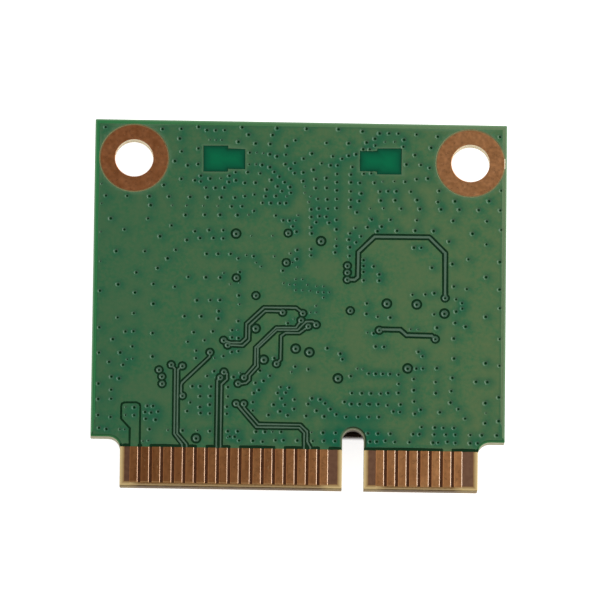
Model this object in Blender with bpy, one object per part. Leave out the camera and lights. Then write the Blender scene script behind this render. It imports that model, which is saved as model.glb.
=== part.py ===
"""Half-size wireless network card for a laptop.

The card lies as it does on a bench, on the flat lid of its shield can, with
its solder side up and its edge contacts towards -Y. X runs along the contact
edge, Z = 0 is the outer face of the lid, and X = Y = 0 is the middle of the
board. Parts on the component side hang from an empty turned half a turn about
Y, so their own Z points away from the board, down in the world.
"""

import math

import bmesh
import bpy
from mathutils import Matrix, Vector

MM = 0.001

# Board outline
BOARD_WIDTH = 29.6 * MM
BOARD_LENGTH = 26.8 * MM
BOARD_THICKNESS = 1.0 * MM
BOARD_CORNER_RADIUS = 0.1 * MM
DATUM_X = 0.08 * MM                  # line through the tab's middle, from the board's middle
SHOULDER_WIDTH = 2.0 * MM            # from side to tab, the mean of left and right
TAB_DEPTH = 3.6 * MM
TAB_CORNER_RADIUS = 0.12 * MM
SHOULDER_FILLET = 0.85 * MM
KEY_NOTCH_X = 3.86 * MM              # from the datum line
KEY_NOTCH_WIDTH = 1.56 * MM
KEY_NOTCH_DEPTH = 4.40 * MM
SCREW_FROM_SIDE = 2.7 * MM           # mean of left and right: the holes stand 24.2 mm apart
SCREW_HOLE_DIAMETER = 2.75 * MM
SCREW_LAND_DIAMETER = 5.0 * MM
SCREW_LINE_FROM_BACK = 2.75 * MM

# Copper and solder mask, as relief on the bare laminate
COPPER_RELIEF = 0.045 * MM           # laminate up to the mask over copper
LAND_RECESS = 0.012 * MM             # bare land below the mask
WINDOW_RECESS = 0.030 * MM           # mask with no copper under it

# Edge contacts, the same on both faces
CONTACT_PITCH = 0.8 * MM
CONTACT_WIDTH = 0.6 * MM
CONTACT_LENGTH = 2.56 * MM
CONTACT_SETBACK = 0.25 * MM          # from the contact edge
CONTACT_ROW_X = 3.80 * MM            # middle of the gap in the row, from the datum line
CONTACT_GAP_PITCHES = 5              # between the two contacts beside the notch
CONTACT_END_MARGIN = 0.5 * MM        # least bare laminate at the ends of the tab
LAND_ROOT = 0.02 * MM                # how deep a land sits in the laminate and under the mask

# Windows in the copper, under the antenna receptacles
WINDOW_FROM_SCREW = 4.98 * MM        # outer edge, from the middle of the screw hole
WINDOW_WIDE_WIDTH = 1.75 * MM
WINDOW_WIDE_LENGTH = 1.88 * MM
WINDOW_NARROW_WIDTH = 1.24 * MM
WINDOW_NARROW_LENGTH = 1.40 * MM

# Shield can: a soldered fence and a snap-on lid
SHIELD_FROM_SIDE = 1.5 * MM
SHIELD_BACK_FROM_EDGE = 5.6 * MM     # from the board's back edge
SHIELD_NOTCH_CLEARANCE = 0.03 * MM   # front of the lid behind the key notch
SHIELD_HEIGHT = 2.3 * MM
SHEET = 0.2 * MM
LID_SKIRT = 1.35 * MM
LID_CLEARANCE = 0.04 * MM
FOLD_RADIUS = 0.32 * MM              # outer, along a folded edge
CORNER_RELIEF = 0.5 * MM
SOLDER_GAP = 0.03 * MM
FENCE_FLANGE = 1.1 * MM
FENCE_BRIDGE = 1.2 * MM
FENCE_WINDOW_RADIUS = 0.8 * MM
FOOT_PITCH = 2.8 * MM
FOOT_GAP_WIDTH = 1.0 * MM
FOOT_GAP_HEIGHT = 0.30 * MM
SNAP_PITCH = 7.5 * MM
SNAP_HEIGHT = 1.45 * MM              # of the snap row above the board
SNAP_HOLE_DIAMETER = 0.8 * MM
SNAP_DIMPLE_DIAMETER = 0.6 * MM
SNAP_DIMPLE_TIP = 0.35 * MM          # diameter of a dimple at its bottom
SNAP_DIMPLE_DEPTH = 0.14 * MM

# Antenna receptacles
RECEPTACLE_BASE_WIDTH = 2.0 * MM
RECEPTACLE_BASE_LENGTH = 2.6 * MM
RECEPTACLE_BASE_HEIGHT = 0.38 * MM
RECEPTACLE_BASE_CHAMFER = 0.25 * MM
RECEPTACLE_HEIGHT = 1.25 * MM
RECEPTACLE_RING_DIAMETER = 2.0 * MM
RECEPTACLE_RING_WALL = 0.13 * MM
RECEPTACLE_GROOVE_DEPTH = 0.06 * MM
RECEPTACLE_BOSS_DIAMETER = 1.1 * MM
RECEPTACLE_BOSS_HEIGHT = 0.22 * MM
RECEPTACLE_PIN_DIAMETER = 0.5 * MM
RECEPTACLE_PIN_HEIGHT = 1.1 * MM
RECEPTACLE_STRIP = 0.1 * MM          # thickness of the stamped feet and tail
RECEPTACLE_FOOT_WIDTH = 1.0 * MM
RECEPTACLE_FOOT_REACH = 0.3 * MM
RECEPTACLE_TAIL_WIDTH = 0.6 * MM
RECEPTACLE_TAIL_REACH = 0.25 * MM
ASSEMBLY_CLEARANCE = 0.02 * MM

# Chips
RADIO_CHIP_WIDTH = 9.0 * MM
RADIO_CHIP_HEIGHT = 0.85 * MM
RADIO_CHIP_X = -1.2 * MM             # off the middle, to leave room for the power parts
CHIP_LEAD_PITCH = 0.5 * MM
CHIP_LEAD_WIDTH = 0.24 * MM
CHIP_LEAD_HEIGHT = 0.2 * MM
CHIP_LEAD_PROUD = 0.02 * MM
CHIP_LEAD_INSET = 0.5 * MM           # first lead from the chip's corner
CHIP_EDGE_BEVEL = 0.05 * MM
CHIP_DOT_DIAMETER = 0.5 * MM
CHIP_DOT_DEPTH = 0.05 * MM
CHIP_DOT_INSET = 0.75 * MM
MODULE_WIDTH = 3.0 * MM
MODULE_HEIGHT = 0.75 * MM
REGULATOR_WIDTH = 2.5 * MM
REGULATOR_HEIGHT = 0.75 * MM
MEMORY_WIDTH = 3.0 * MM
MEMORY_LENGTH = 2.9 * MM
MEMORY_HEIGHT = 0.95 * MM
MEMORY_STANDOFF = 0.1 * MM
MEMORY_LEAD_PITCH = 0.65 * MM
MEMORY_LEAD_WIDTH = 0.3 * MM
MEMORY_LEAD_THICKNESS = 0.13 * MM
MEMORY_LEAD_REACH = 0.8 * MM
MEMORY_LEAD_SHOULDER = 0.2 * MM      # level stretch where a lead leaves the body
MEMORY_LEAD_SLOPE = 0.16 * MM        # reach of the stretch that goes down to the board
MEMORY_LEADS_PER_SIDE = 4
CRYSTAL_WIDTH = 2.5 * MM
CRYSTAL_LENGTH = 2.0 * MM
CRYSTAL_BASE_HEIGHT = 0.35 * MM
CRYSTAL_LID_HEIGHT = 0.2 * MM
CRYSTAL_LID_INSET = 0.12 * MM
INDUCTOR_WIDTH = 2.5 * MM
INDUCTOR_LENGTH = 2.0 * MM
INDUCTOR_HEIGHT = 1.1 * MM
INDUCTOR_COIL_DIAMETER = 1.7 * MM
INDUCTOR_FLANGE = 0.28 * MM
INDUCTOR_TURNS = 3
INDUCTOR_WIRE_SHARE = 0.4            # of a turn's pitch where the wire stands full
FILTER_SIZE = (2.0 * MM, 1.25 * MM, 0.8 * MM)

# Small two-ended parts: length, width and height
SMALL_CAPACITOR = (1.0 * MM, 0.5 * MM, 0.5 * MM)
LARGE_CAPACITOR = (2.0 * MM, 1.25 * MM, 1.0 * MM)
RESISTOR = (1.0 * MM, 0.5 * MM, 0.35 * MM)
END_CAP_SHARE = 0.25                 # of the part's length, at each end
END_CAP_PROUD = 0.02 * MM
SMALL_EDGE = 0.04 * MM

# Places of the parts inside the can
PART_GAP = 0.55 * MM                 # between neighbours in a row
ROW_PITCH = 1.5 * MM                 # along a row of small parts
RADIO_ROW_COUNT = 5
OUTER_ROW_COUNT = 4
SIDE_ROW_COUNT = 4
SIDE_ROW_PITCH = 1.15 * MM
SENSE_ROW_COUNT = 3
MODULE_ROW_COUNT = 2

ARC_STEPS = 6                        # per quarter turn
DRILL_STEPS = 48                     # per full turn of the screw holes and lands
TURNED_STEPS = 20                    # per full turn of a small turned form
COIL_STEPS = 16                      # per full turn of a choke's winding
SNAP_STEPS = 8                       # per full turn of a snap
FOLD_STEPS = 3                       # per folded edge
CUT_BEYOND = 1.0 * MM                # how far a cutter runs past the face that it opens

# Places and widths that follow from the sizes above
TAB_WIDTH = BOARD_WIDTH - 2 * SHOULDER_WIDTH
SCREW_X = BOARD_WIDTH / 2 - SCREW_FROM_SIDE
WINDOW_OUTER_X = SCREW_X - WINDOW_FROM_SCREW
SHIELD_WIDTH = BOARD_WIDTH - 2 * SHIELD_FROM_SIDE
FRONT_Y = -BOARD_LENGTH / 2
BACK_Y = BOARD_LENGTH / 2
SCREW_Y = BACK_Y - SCREW_LINE_FROM_BACK
COMPONENT_FACE_Z = SHIELD_HEIGHT
SHIELD_FRONT_Y = FRONT_Y + KEY_NOTCH_DEPTH + SHIELD_NOTCH_CLEARANCE
SHIELD_BACK_Y = BACK_Y - SHIELD_BACK_FROM_EDGE
SHIELD_LENGTH = SHIELD_BACK_Y - SHIELD_FRONT_Y
SHIELD_Y = (SHIELD_BACK_Y + SHIELD_FRONT_Y) / 2
FENCE_WIDTH = SHIELD_WIDTH - 2 * (SHEET + LID_CLEARANCE)
FENCE_LENGTH = SHIELD_LENGTH - 2 * (SHEET + LID_CLEARANCE)
FENCE_TOP = SHIELD_HEIGHT - SHEET - LID_CLEARANCE
ROOM_WIDTH = FENCE_WIDTH - 2 * SHEET
ROOM_LENGTH = FENCE_LENGTH - 2 * SHEET


def clear_scene():
    """Start from an empty scene."""
    for old in list(bpy.data.objects):
        bpy.data.objects.remove(old, do_unlink=True)


def make_material(name, colour, roughness, metallic=0.0):
    """One Principled BSDF with the part's colour."""
    material = bpy.data.materials.new(name)
    material.use_nodes = True
    shader = material.node_tree.nodes["Principled BSDF"]
    shader.inputs["Base Color"].default_value = (*colour, 1.0)
    shader.inputs["Roughness"].default_value = roughness
    shader.inputs["Metallic"].default_value = metallic
    material.diffuse_color = (*colour, 1.0)
    return material


def add_object(name, shape, material=None, parent=None, place=(0, 0, 0)):
    """Turn a bmesh into a named object at its place."""
    bmesh.ops.remove_doubles(shape, verts=shape.verts, dist=1e-8)
    bmesh.ops.recalc_face_normals(shape, faces=shape.faces)
    mesh = bpy.data.meshes.new(name)
    shape.to_mesh(mesh)
    shape.free()
    obj = bpy.data.objects.new(name, mesh)
    bpy.context.scene.collection.objects.link(obj)
    if material:
        mesh.materials.append(material)
    obj.parent = parent
    obj.location = place
    return obj


def hide_tool(obj):
    """Mark an object as a tool of a Boolean, not a piece of the card."""
    obj.hide_render = True
    obj.display_type = "WIRE"
    return obj


def combine(target, tool_shape, operation):
    """Cut, join or trim the target with a shape given in the target's own frame."""
    tool = add_object(f"{target.name}_{operation.lower()}_tool", tool_shape)
    tool.parent = target.parent
    tool.location = target.location
    tool.rotation_euler = target.rotation_euler
    hide_tool(tool)
    modifier = target.modifiers.new(operation.title(), "BOOLEAN")
    modifier.operation = operation
    modifier.object = tool
    return tool


def smooth(obj, angle=35):
    """Shade round faces smooth and keep the corners sharp."""
    obj.data.shade_smooth()
    obj.data.set_sharp_from_angle(angle=math.radians(angle))
    return obj


def rounded(corners):
    """Round each (x, y, radius) corner of a closed outline with an arc."""
    outline = []
    count = len(corners)
    for index, (x, y, radius) in enumerate(corners):
        here = Vector((x, y))
        before = Vector(corners[index - 1][:2]) - here
        after = Vector(corners[(index + 1) % count][:2]) - here
        if radius <= 0:
            outline.append(here)
            continue
        radius = min(radius, 0.5 * min(before.length, after.length))
        before.normalize()
        after.normalize()
        half_angle = before.angle(after) / 2
        reach = radius / math.tan(half_angle)
        centre = here + (before + after).normalized() * radius / math.sin(half_angle)
        start = here + before * reach - centre
        end = here + after * reach - centre
        sweep = start.angle_signed(end)
        steps = max(2, round(ARC_STEPS * abs(sweep) / (math.pi / 2)))
        for step in range(steps + 1):
            turn = Matrix.Rotation(-sweep * step / steps, 2)
            outline.append(centre + turn @ start)
    return [p for i, p in enumerate(outline) if (p - outline[i - 1]).length > 1e-7]


def rectangle(width, length, radius=0.0, x=0.0, y=0.0):
    """Corners of a rectangle about (x, y), ready for rounded()."""
    signs = ((-1, -1), (1, -1), (1, 1), (-1, 1))
    return [(x + sx * width / 2, y + sy * length / 2, radius) for sx, sy in signs]


def extrude_outline(shape, outline, bottom, top):
    """Add a closed prism over an outline to a bmesh."""
    corners = [shape.verts.new((p[0], p[1], bottom)) for p in outline]
    base = shape.faces.new(corners)
    raised = bmesh.ops.extrude_face_region(shape, geom=[base])["geom"]
    lifted = [item for item in raised if isinstance(item, bmesh.types.BMVert)]
    bmesh.ops.translate(shape, verts=lifted, vec=(0, 0, top - bottom))
    return shape


def prism(outline, bottom, top):
    """A closed prism as a new bmesh."""
    return extrude_outline(bmesh.new(), outline, bottom, top)


def disc_outline(diameter, x=0.0, y=0.0, steps=TURNED_STEPS):
    """Points round a circle."""
    turns = [2 * math.pi * step / steps for step in range(steps)]
    return [(x + diameter / 2 * math.cos(a), y + diameter / 2 * math.sin(a)) for a in turns]


def add_box(shape, size, centre):
    """Add a closed box to a bmesh."""
    place = Matrix.Translation(centre) @ Matrix.Diagonal((*size, 1.0))
    return bmesh.ops.create_cube(shape, size=1.0, matrix=place)["verts"]


def bevel_edges(shape, edges, width, segments):
    """Round the given edges."""
    bmesh.ops.bevel(
        shape, geom=edges, offset=width, segments=segments, affect="EDGES", profile=0.5
    )


def turned(profile, steps=TURNED_STEPS):
    """Spin an (r, z) profile about Z; points on the axis close the ends."""
    shape = bmesh.new()
    points = [shape.verts.new((r, 0, z)) for r, z in profile]
    edges = [shape.edges.new(pair) for pair in zip(points, points[1:])]
    if profile[0][0] > 0:
        edges.append(shape.edges.new((points[-1], points[0])))
    bmesh.ops.spin(
        shape, geom=points + edges, cent=(0, 0, 0), axis=(0, 0, 1),
        angle=2 * math.pi, steps=steps, use_merge=True,
    )
    bmesh.ops.remove_doubles(shape, verts=shape.verts, dist=1e-8)
    return shape


def side_values(count, pitch):
    """Evenly spaced values about zero."""
    return [(index - (count - 1) / 2) * pitch for index in range(count)]


def spread(start, end, sizes):
    """Middles of pieces of the given sizes, set out from start to end with equal gaps."""
    way = math.copysign(1, end - start)
    gap = (abs(end - start) - sum(sizes)) / (len(sizes) + 1)
    middles = []
    reached = 0
    for size in sizes:
        middles.append(start + way * (reached + gap + size / 2))
        reached += gap + size
    return middles


# Circuit board

def card_outline():
    """The routed outline, anticlockwise from the left end of the contact edge."""
    tab_left = DATUM_X - TAB_WIDTH / 2
    tab_right = DATUM_X + TAB_WIDTH / 2
    notch_left = DATUM_X + KEY_NOTCH_X - KEY_NOTCH_WIDTH / 2
    notch_right = DATUM_X + KEY_NOTCH_X + KEY_NOTCH_WIDTH / 2
    notch_top = FRONT_Y + KEY_NOTCH_DEPTH
    shoulder = FRONT_Y + TAB_DEPTH
    side = BOARD_WIDTH / 2
    return rounded([
        (tab_left, FRONT_Y, TAB_CORNER_RADIUS),
        (notch_left, FRONT_Y, 0),
        (notch_left, notch_top, KEY_NOTCH_WIDTH / 2),
        (notch_right, notch_top, KEY_NOTCH_WIDTH / 2),
        (notch_right, FRONT_Y, 0),
        (tab_right, FRONT_Y, TAB_CORNER_RADIUS),
        (tab_right, shoulder, SHOULDER_FILLET),
        (side, shoulder, BOARD_CORNER_RADIUS),
        (side, BACK_Y, BOARD_CORNER_RADIUS),
        (-side, BACK_Y, BOARD_CORNER_RADIUS),
        (-side, shoulder, BOARD_CORNER_RADIUS),
        (tab_left, shoulder, SHOULDER_FILLET),
    ])


def window_outline(side):
    """Stepped window in the copper: its wide end lies away from the card's middle."""
    outer = WINDOW_OUTER_X
    step = outer - WINDOW_WIDE_WIDTH
    inner = step - WINDOW_NARROW_WIDTH
    wide = WINDOW_WIDE_LENGTH / 2
    narrow = WINDOW_NARROW_LENGTH / 2
    corners = [
        (outer, -wide), (outer, wide), (step, wide), (step, narrow),
        (inner, narrow), (inner, -narrow), (step, -narrow), (step, -wide),
    ]
    return [(DATUM_X + side * x, SCREW_Y + y) for x, y in corners]


def contact_places():
    """X of each contact's middle."""
    half_gap = CONTACT_GAP_PITCHES * CONTACT_PITCH / 2
    last = TAB_WIDTH / 2 - CONTACT_END_MARGIN - CONTACT_WIDTH / 2
    places = []
    for side in (-1, 1):
        first = side * CONTACT_ROW_X + half_gap
        count = 1 + int((last - first) / CONTACT_PITCH)
        places += [DATUM_X + side * (first + k * CONTACT_PITCH) for k in range(count)]
    return sorted(places)


def make_board(material):
    """Laminate with its copper relief: one routed, drilled and etched piece."""
    top = BOARD_THICKNESS
    board = add_object(
        "circuit_board", prism(card_outline(), 0, top), material,
        place=(0, 0, COMPONENT_FACE_Z),
    )
    mask_edge = FRONT_Y + CONTACT_SETBACK + CONTACT_LENGTH
    above = top + CUT_BEYOND
    below = -CUT_BEYOND

    cuts = bmesh.new()
    for low, high in ((top - COPPER_RELIEF, above), (below, COPPER_RELIEF)):
        size = (BOARD_WIDTH, mask_edge - FRONT_Y + CUT_BEYOND, high - low)
        add_box(cuts, size, (0, mask_edge - size[1] / 2, (low + high) / 2))
    for side in (-1, 1):
        x = DATUM_X + side * SCREW_X
        hole = disc_outline(SCREW_HOLE_DIAMETER, x, SCREW_Y, DRILL_STEPS)
        extrude_outline(cuts, hole, below, above)
        extrude_outline(cuts, window_outline(side), top - WINDOW_RECESS, above)
    combine(board, cuts, "DIFFERENCE")

    recesses = bmesh.new()
    for side in (-1, 1):
        x = DATUM_X + side * SCREW_X
        land = disc_outline(SCREW_LAND_DIAMETER, x, SCREW_Y, DRILL_STEPS)
        extrude_outline(recesses, land, top - LAND_RECESS, above)
        extrude_outline(recesses, land, below, LAND_RECESS)
    combine(board, recesses, "DIFFERENCE")

    lands = bmesh.new()
    land_height = COPPER_RELIEF - LAND_RECESS + LAND_ROOT
    land_length = CONTACT_LENGTH + LAND_ROOT
    land_y = FRONT_Y + CONTACT_SETBACK + land_length / 2
    floors = (
        top - COPPER_RELIEF - LAND_ROOT + land_height / 2,
        COPPER_RELIEF + LAND_ROOT - land_height / 2,
    )
    for x in contact_places():
        for z in floors:
            add_box(lands, (CONTACT_WIDTH, land_length, land_height), (x, land_y, z))
    combine(board, lands, "UNION")
    return board


# Shield can

def folded_tray(width, length, height, fold_radius):
    """A sheet box with its flat face at z = 0 and its skirts down to -height."""
    shape = bmesh.new()
    add_box(shape, (width, length, height), (0, 0, -height / 2))
    open_face = [face for face in shape.faces if face.normal.z < -0.9]
    bmesh.ops.delete(shape, geom=open_face, context="FACES_ONLY")
    folds = [edge for edge in shape.edges if all(v.co.z > -1e-7 for v in edge.verts)]
    bevel_edges(shape, folds, fold_radius, FOLD_STEPS)
    return shape


def thicken(obj):
    """Give a folded sheet its thickness, inwards."""
    modifier = obj.modifiers.new("Sheet", "SOLIDIFY")
    modifier.thickness = SHEET
    modifier.offset = -1
    modifier.use_even_offset = True
    return modifier


def corner_slits(shape, width, length, height):
    """Relief cuts that leave the four skirts as separate folds."""
    for sx in (-1, 1):
        for sy in (-1, 1):
            centre = (sx * width / 2, sy * length / 2, -height / 2 - FOLD_RADIUS)
            add_box(shape, (CORNER_RELIEF, CORNER_RELIEF, height), centre)


def snap_places(width, length):
    """Middle and outward direction of each snap along the four walls."""
    places = []
    for x in side_values(int(width / SNAP_PITCH), SNAP_PITCH):
        places += [((x, side * length / 2), Vector((0, side, 0))) for side in (-1, 1)]
    for y in side_values(int(length / SNAP_PITCH), SNAP_PITCH):
        places += [((side * width / 2, y), Vector((side, 0, 0))) for side in (-1, 1)]
    return places


def add_studs(shape, width, length, z, outer, inner, outer_diameter, inner_diameter):
    """Add a short round stud at each snap, tapering inwards.

    It runs from `outer` to `inner`, both measured inwards from the wall's face.
    """
    middle = (outer + inner) / 2
    for (x, y), outward in snap_places(width, length):
        turn = outward.to_track_quat("Z", "Y").to_matrix().to_4x4()
        place = Matrix.Translation(Vector((x, y, z)) - outward * middle) @ turn
        bmesh.ops.create_cone(
            shape, cap_ends=True, segments=SNAP_STEPS, radius1=inner_diameter / 2,
            radius2=outer_diameter / 2, depth=inner - outer, matrix=place,
        )


def make_fence(material, carrier):
    """Soldered frame: walls with feet, an inward flange, and a bridge over the chips."""
    shape = folded_tray(FENCE_WIDTH, FENCE_LENGTH, FENCE_TOP - SOLDER_GAP, FOLD_RADIUS)
    fence = add_object(
        "shield_fence", shape, material, carrier, place=(0, SHIELD_Y, FENCE_TOP)
    )
    thicken(fence)
    cuts = bmesh.new()
    window_length = FENCE_LENGTH - 2 * FENCE_FLANGE
    window_width = (FENCE_WIDTH - 2 * FENCE_FLANGE - FENCE_BRIDGE) / 2
    for side in (-1, 1):
        x = side * (window_width + FENCE_BRIDGE) / 2
        outline = rounded(rectangle(window_width, window_length, FENCE_WINDOW_RADIUS, x))
        extrude_outline(cuts, outline, -SHEET - LID_CLEARANCE, LID_CLEARANCE)
    foot_height = SOLDER_GAP + FOOT_GAP_HEIGHT
    foot_z = foot_height / 2 - FENCE_TOP
    across = 4 * SHEET
    feet_x = int((FENCE_WIDTH - 2 * CORNER_RELIEF) / FOOT_PITCH)
    for x in side_values(feet_x, FOOT_PITCH):
        for side in (-1, 1):
            centre = (x, side * (FENCE_LENGTH - SHEET) / 2, foot_z)
            add_box(cuts, (FOOT_GAP_WIDTH, across, foot_height), centre)
    feet_y = int((FENCE_LENGTH - 2 * CORNER_RELIEF) / FOOT_PITCH)
    for y in side_values(feet_y, FOOT_PITCH):
        for side in (-1, 1):
            centre = (side * (FENCE_WIDTH - SHEET) / 2, y, foot_z)
            add_box(cuts, (across, FOOT_GAP_WIDTH, foot_height), centre)
    combine(fence, cuts, "DIFFERENCE")

    more_cuts = bmesh.new()
    corner_slits(more_cuts, FENCE_WIDTH, FENCE_LENGTH, FENCE_TOP)
    add_studs(
        more_cuts, FENCE_WIDTH, FENCE_LENGTH, SNAP_HEIGHT - FENCE_TOP,
        -SHEET, 2 * SHEET, SNAP_HOLE_DIAMETER, SNAP_HOLE_DIAMETER,
    )
    combine(fence, more_cuts, "DIFFERENCE")
    return smooth(fence)


def make_lid(material, carrier):
    """Snap-on lid: a flat face, four folded skirts and a row of dimples."""
    shape = folded_tray(SHIELD_WIDTH, SHIELD_LENGTH, LID_SKIRT, FOLD_RADIUS)
    lid = add_object(
        "shield_lid", shape, material, carrier, place=(0, SHIELD_Y, SHIELD_HEIGHT)
    )
    thicken(lid)
    snap_z = SNAP_HEIGHT - SHIELD_HEIGHT
    buttons = bmesh.new()
    add_studs(
        buttons, SHIELD_WIDTH, SHIELD_LENGTH, snap_z,
        SHEET / 2, SHEET + SNAP_DIMPLE_DEPTH, SNAP_DIMPLE_DIAMETER, SNAP_DIMPLE_TIP,
    )
    combine(lid, buttons, "UNION")
    cuts = bmesh.new()
    corner_slits(cuts, SHIELD_WIDTH, SHIELD_LENGTH, LID_SKIRT)
    add_studs(
        cuts, SHIELD_WIDTH, SHIELD_LENGTH, snap_z,
        -SHEET, SNAP_DIMPLE_DEPTH, SNAP_DIMPLE_DIAMETER, SNAP_DIMPLE_TIP,
    )
    combine(lid, cuts, "DIFFERENCE")
    return smooth(lid)


# Antenna receptacles

def strip_outline(path, thickness):
    """Outline of a bent strip: the path on one side, the path set off on the other."""
    path = [Vector(p) for p in path]
    normals = []
    for start, end in zip(path, path[1:]):
        along = (end - start).normalized()
        normals.append(Vector((-along.y, along.x)))
    offsets = [normals[0]]
    for first, second in zip(normals, normals[1:]):
        middle = (first + second).normalized()
        offsets.append(middle / middle.dot(first))
    offsets.append(normals[-1])
    far_side = [p + o * thickness for p, o in zip(path, offsets)]
    return path + far_side[::-1]


def add_strip(shape, path, thickness, width, place=Matrix.Identity(4)):
    """Add a strip bent along an (x, z) path and as wide as given along Y."""
    outline = strip_outline(path, thickness)
    strip = prism(outline, -width / 2, width / 2)
    stand = Matrix.Rotation(math.pi / 2, 4, "X")
    bmesh.ops.transform(strip, matrix=place @ stand, verts=strip.verts)
    mesh = bpy.data.meshes.new("strip")
    strip.to_mesh(mesh)
    strip.free()
    shape.from_mesh(mesh)
    bpy.data.meshes.remove(mesh)


def make_receptacle_shell(name, material, stand):
    """Turned ground ring with a snap groove, on two feet that clasp the base."""
    seat = RECEPTACLE_BASE_HEIGHT + ASSEMBLY_CLEARANCE
    outer = RECEPTACLE_RING_DIAMETER / 2
    inner = outer - RECEPTACLE_RING_WALL
    groove = outer - RECEPTACLE_GROOVE_DEPTH
    lip = RECEPTACLE_HEIGHT - 3 * RECEPTACLE_STRIP
    chamfer = RECEPTACLE_RING_WALL / 3
    ring = turned([
        (inner, seat), (outer, seat), (outer, seat + RECEPTACLE_STRIP),
        (groove, seat + RECEPTACLE_STRIP + RECEPTACLE_GROOVE_DEPTH),
        (groove, lip), (outer, lip + RECEPTACLE_GROOVE_DEPTH),
        (outer, RECEPTACLE_HEIGHT - chamfer), (outer - chamfer, RECEPTACLE_HEIGHT),
        (inner + chamfer / 2, RECEPTACLE_HEIGHT), (inner, RECEPTACLE_HEIGHT - chamfer),
    ])
    shell = add_object(name, ring, material, stand)
    wall = RECEPTACLE_BASE_WIDTH / 2 + ASSEMBLY_CLEARANCE
    foot_end = wall + RECEPTACLE_STRIP + RECEPTACLE_FOOT_REACH
    path = [
        (inner, seat), (wall, seat), (wall, SOLDER_GAP), (foot_end, SOLDER_GAP),
    ]
    feet = bmesh.new()
    for turn in (math.pi / 2, -math.pi / 2):
        place = Matrix.Rotation(turn, 4, "Z")
        add_strip(feet, path, RECEPTACLE_STRIP, RECEPTACLE_FOOT_WIDTH, place)
    combine(shell, feet, "UNION")
    return smooth(shell)


def make_receptacle_insulator(name, material, stand):
    """Moulded base with a round boss, a bore for the pin and a channel for its tail."""
    half_length = RECEPTACLE_BASE_LENGTH / 2
    half_width = RECEPTACLE_BASE_WIDTH / 2
    cut = RECEPTACLE_BASE_CHAMFER
    outline = [
        (-half_length, -half_width), (half_length - cut, -half_width),
        (half_length, cut - half_width), (half_length, half_width - cut),
        (half_length - cut, half_width), (-half_length, half_width),
    ]
    base = prism(outline, SOLDER_GAP, RECEPTACLE_BASE_HEIGHT)
    insulator = add_object(name, base, material, stand)
    boss_top = RECEPTACLE_BASE_HEIGHT + RECEPTACLE_BOSS_HEIGHT
    boss = disc_outline(RECEPTACLE_BOSS_DIAMETER)
    combine(insulator, prism(boss, RECEPTACLE_BASE_HEIGHT / 2, boss_top), "UNION")
    bore = disc_outline(RECEPTACLE_PIN_DIAMETER + 2 * ASSEMBLY_CLEARANCE)
    channel_top = SOLDER_GAP + RECEPTACLE_STRIP + ASSEMBLY_CLEARANCE
    combine(insulator, prism(bore, -CUT_BEYOND, boss_top + CUT_BEYOND), "DIFFERENCE")
    channel = bmesh.new()
    width = RECEPTACLE_TAIL_WIDTH + 2 * ASSEMBLY_CLEARANCE
    size = (half_length + CUT_BEYOND + width / 2, width, channel_top + CUT_BEYOND)
    add_box(channel, size, (size[0] / 2 - width / 2, 0, channel_top - size[2] / 2))
    combine(insulator, channel, "DIFFERENCE")
    return smooth(insulator)


def make_receptacle_pin(name, material, stand):
    """Centre contact: a round pin with a domed tip and a flat solder tail."""
    radius = RECEPTACLE_PIN_DIAMETER / 2
    dome = [
        (radius * math.cos(a), RECEPTACLE_PIN_HEIGHT - radius / 2 * (1 - math.sin(a)))
        for a in (math.radians(d) for d in (0, 30, 60, 90))
    ]
    dome[-1] = (0, RECEPTACLE_PIN_HEIGHT)
    pin = add_object(
        name, turned([(0, SOLDER_GAP), (radius, SOLDER_GAP)] + dome),
        material, stand,
    )
    tail = bmesh.new()
    reach = RECEPTACLE_BASE_LENGTH / 2 + RECEPTACLE_TAIL_REACH
    path = [(0, SOLDER_GAP), (reach, SOLDER_GAP)]
    add_strip(tail, path, RECEPTACLE_STRIP, RECEPTACLE_TAIL_WIDTH)
    combine(pin, tail, "UNION")
    return smooth(pin)


def receptacle_place(side):
    """Middle of a receptacle in the component frame: over its window's wide end."""
    x = DATUM_X + side * (WINDOW_OUTER_X - WINDOW_WIDE_WIDTH / 2)
    return -x, SCREW_Y


# Chips and small parts, each standing on its solder joints

def edge_beveled_block(width, length, bottom, top):
    """A moulded block with its upper edges eased."""
    shape = prism(rectangle_points(width, length), bottom, top)
    upper = [edge for edge in shape.edges if all(v.co.z > top - 1e-7 for v in edge.verts)]
    bevel_edges(shape, upper, CHIP_EDGE_BEVEL, 1)
    return shape


def rectangle_points(width, length):
    """The bare corner points of a rectangle about the origin."""
    return [corner[:2] for corner in rectangle(width, length)]


def chip_mesh(name, width, height, material):
    """Leadless chip: eased block, pin-one dimple and lead ends along four sides."""
    chip = add_object(
        name, edge_beveled_block(width, width, SOLDER_GAP + CHIP_LEAD_PROUD, height), material
    )
    corner = width / 2 - CHIP_DOT_INSET
    dot = disc_outline(CHIP_DOT_DIAMETER, -corner, corner)
    dimple = prism(dot, height - CHIP_DOT_DEPTH, height + CUT_BEYOND)
    combine(chip, dimple, "DIFFERENCE")
    leads = bmesh.new()
    count = 1 + round((width - 2 * CHIP_LEAD_INSET) / CHIP_LEAD_PITCH)
    depth = CHIP_LEAD_INSET / 2
    middle = width / 2 + CHIP_LEAD_PROUD - depth / 2
    z = SOLDER_GAP + CHIP_LEAD_HEIGHT / 2
    for offset in side_values(count, CHIP_LEAD_PITCH):
        for side in (-1, 1):
            along_x = (CHIP_LEAD_WIDTH, depth, CHIP_LEAD_HEIGHT)
            along_y = (depth, CHIP_LEAD_WIDTH, CHIP_LEAD_HEIGHT)
            add_box(leads, along_x, (offset, side * middle, z))
            add_box(leads, along_y, (side * middle, offset, z))
    combine(chip, leads, "UNION")
    return chip


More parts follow.
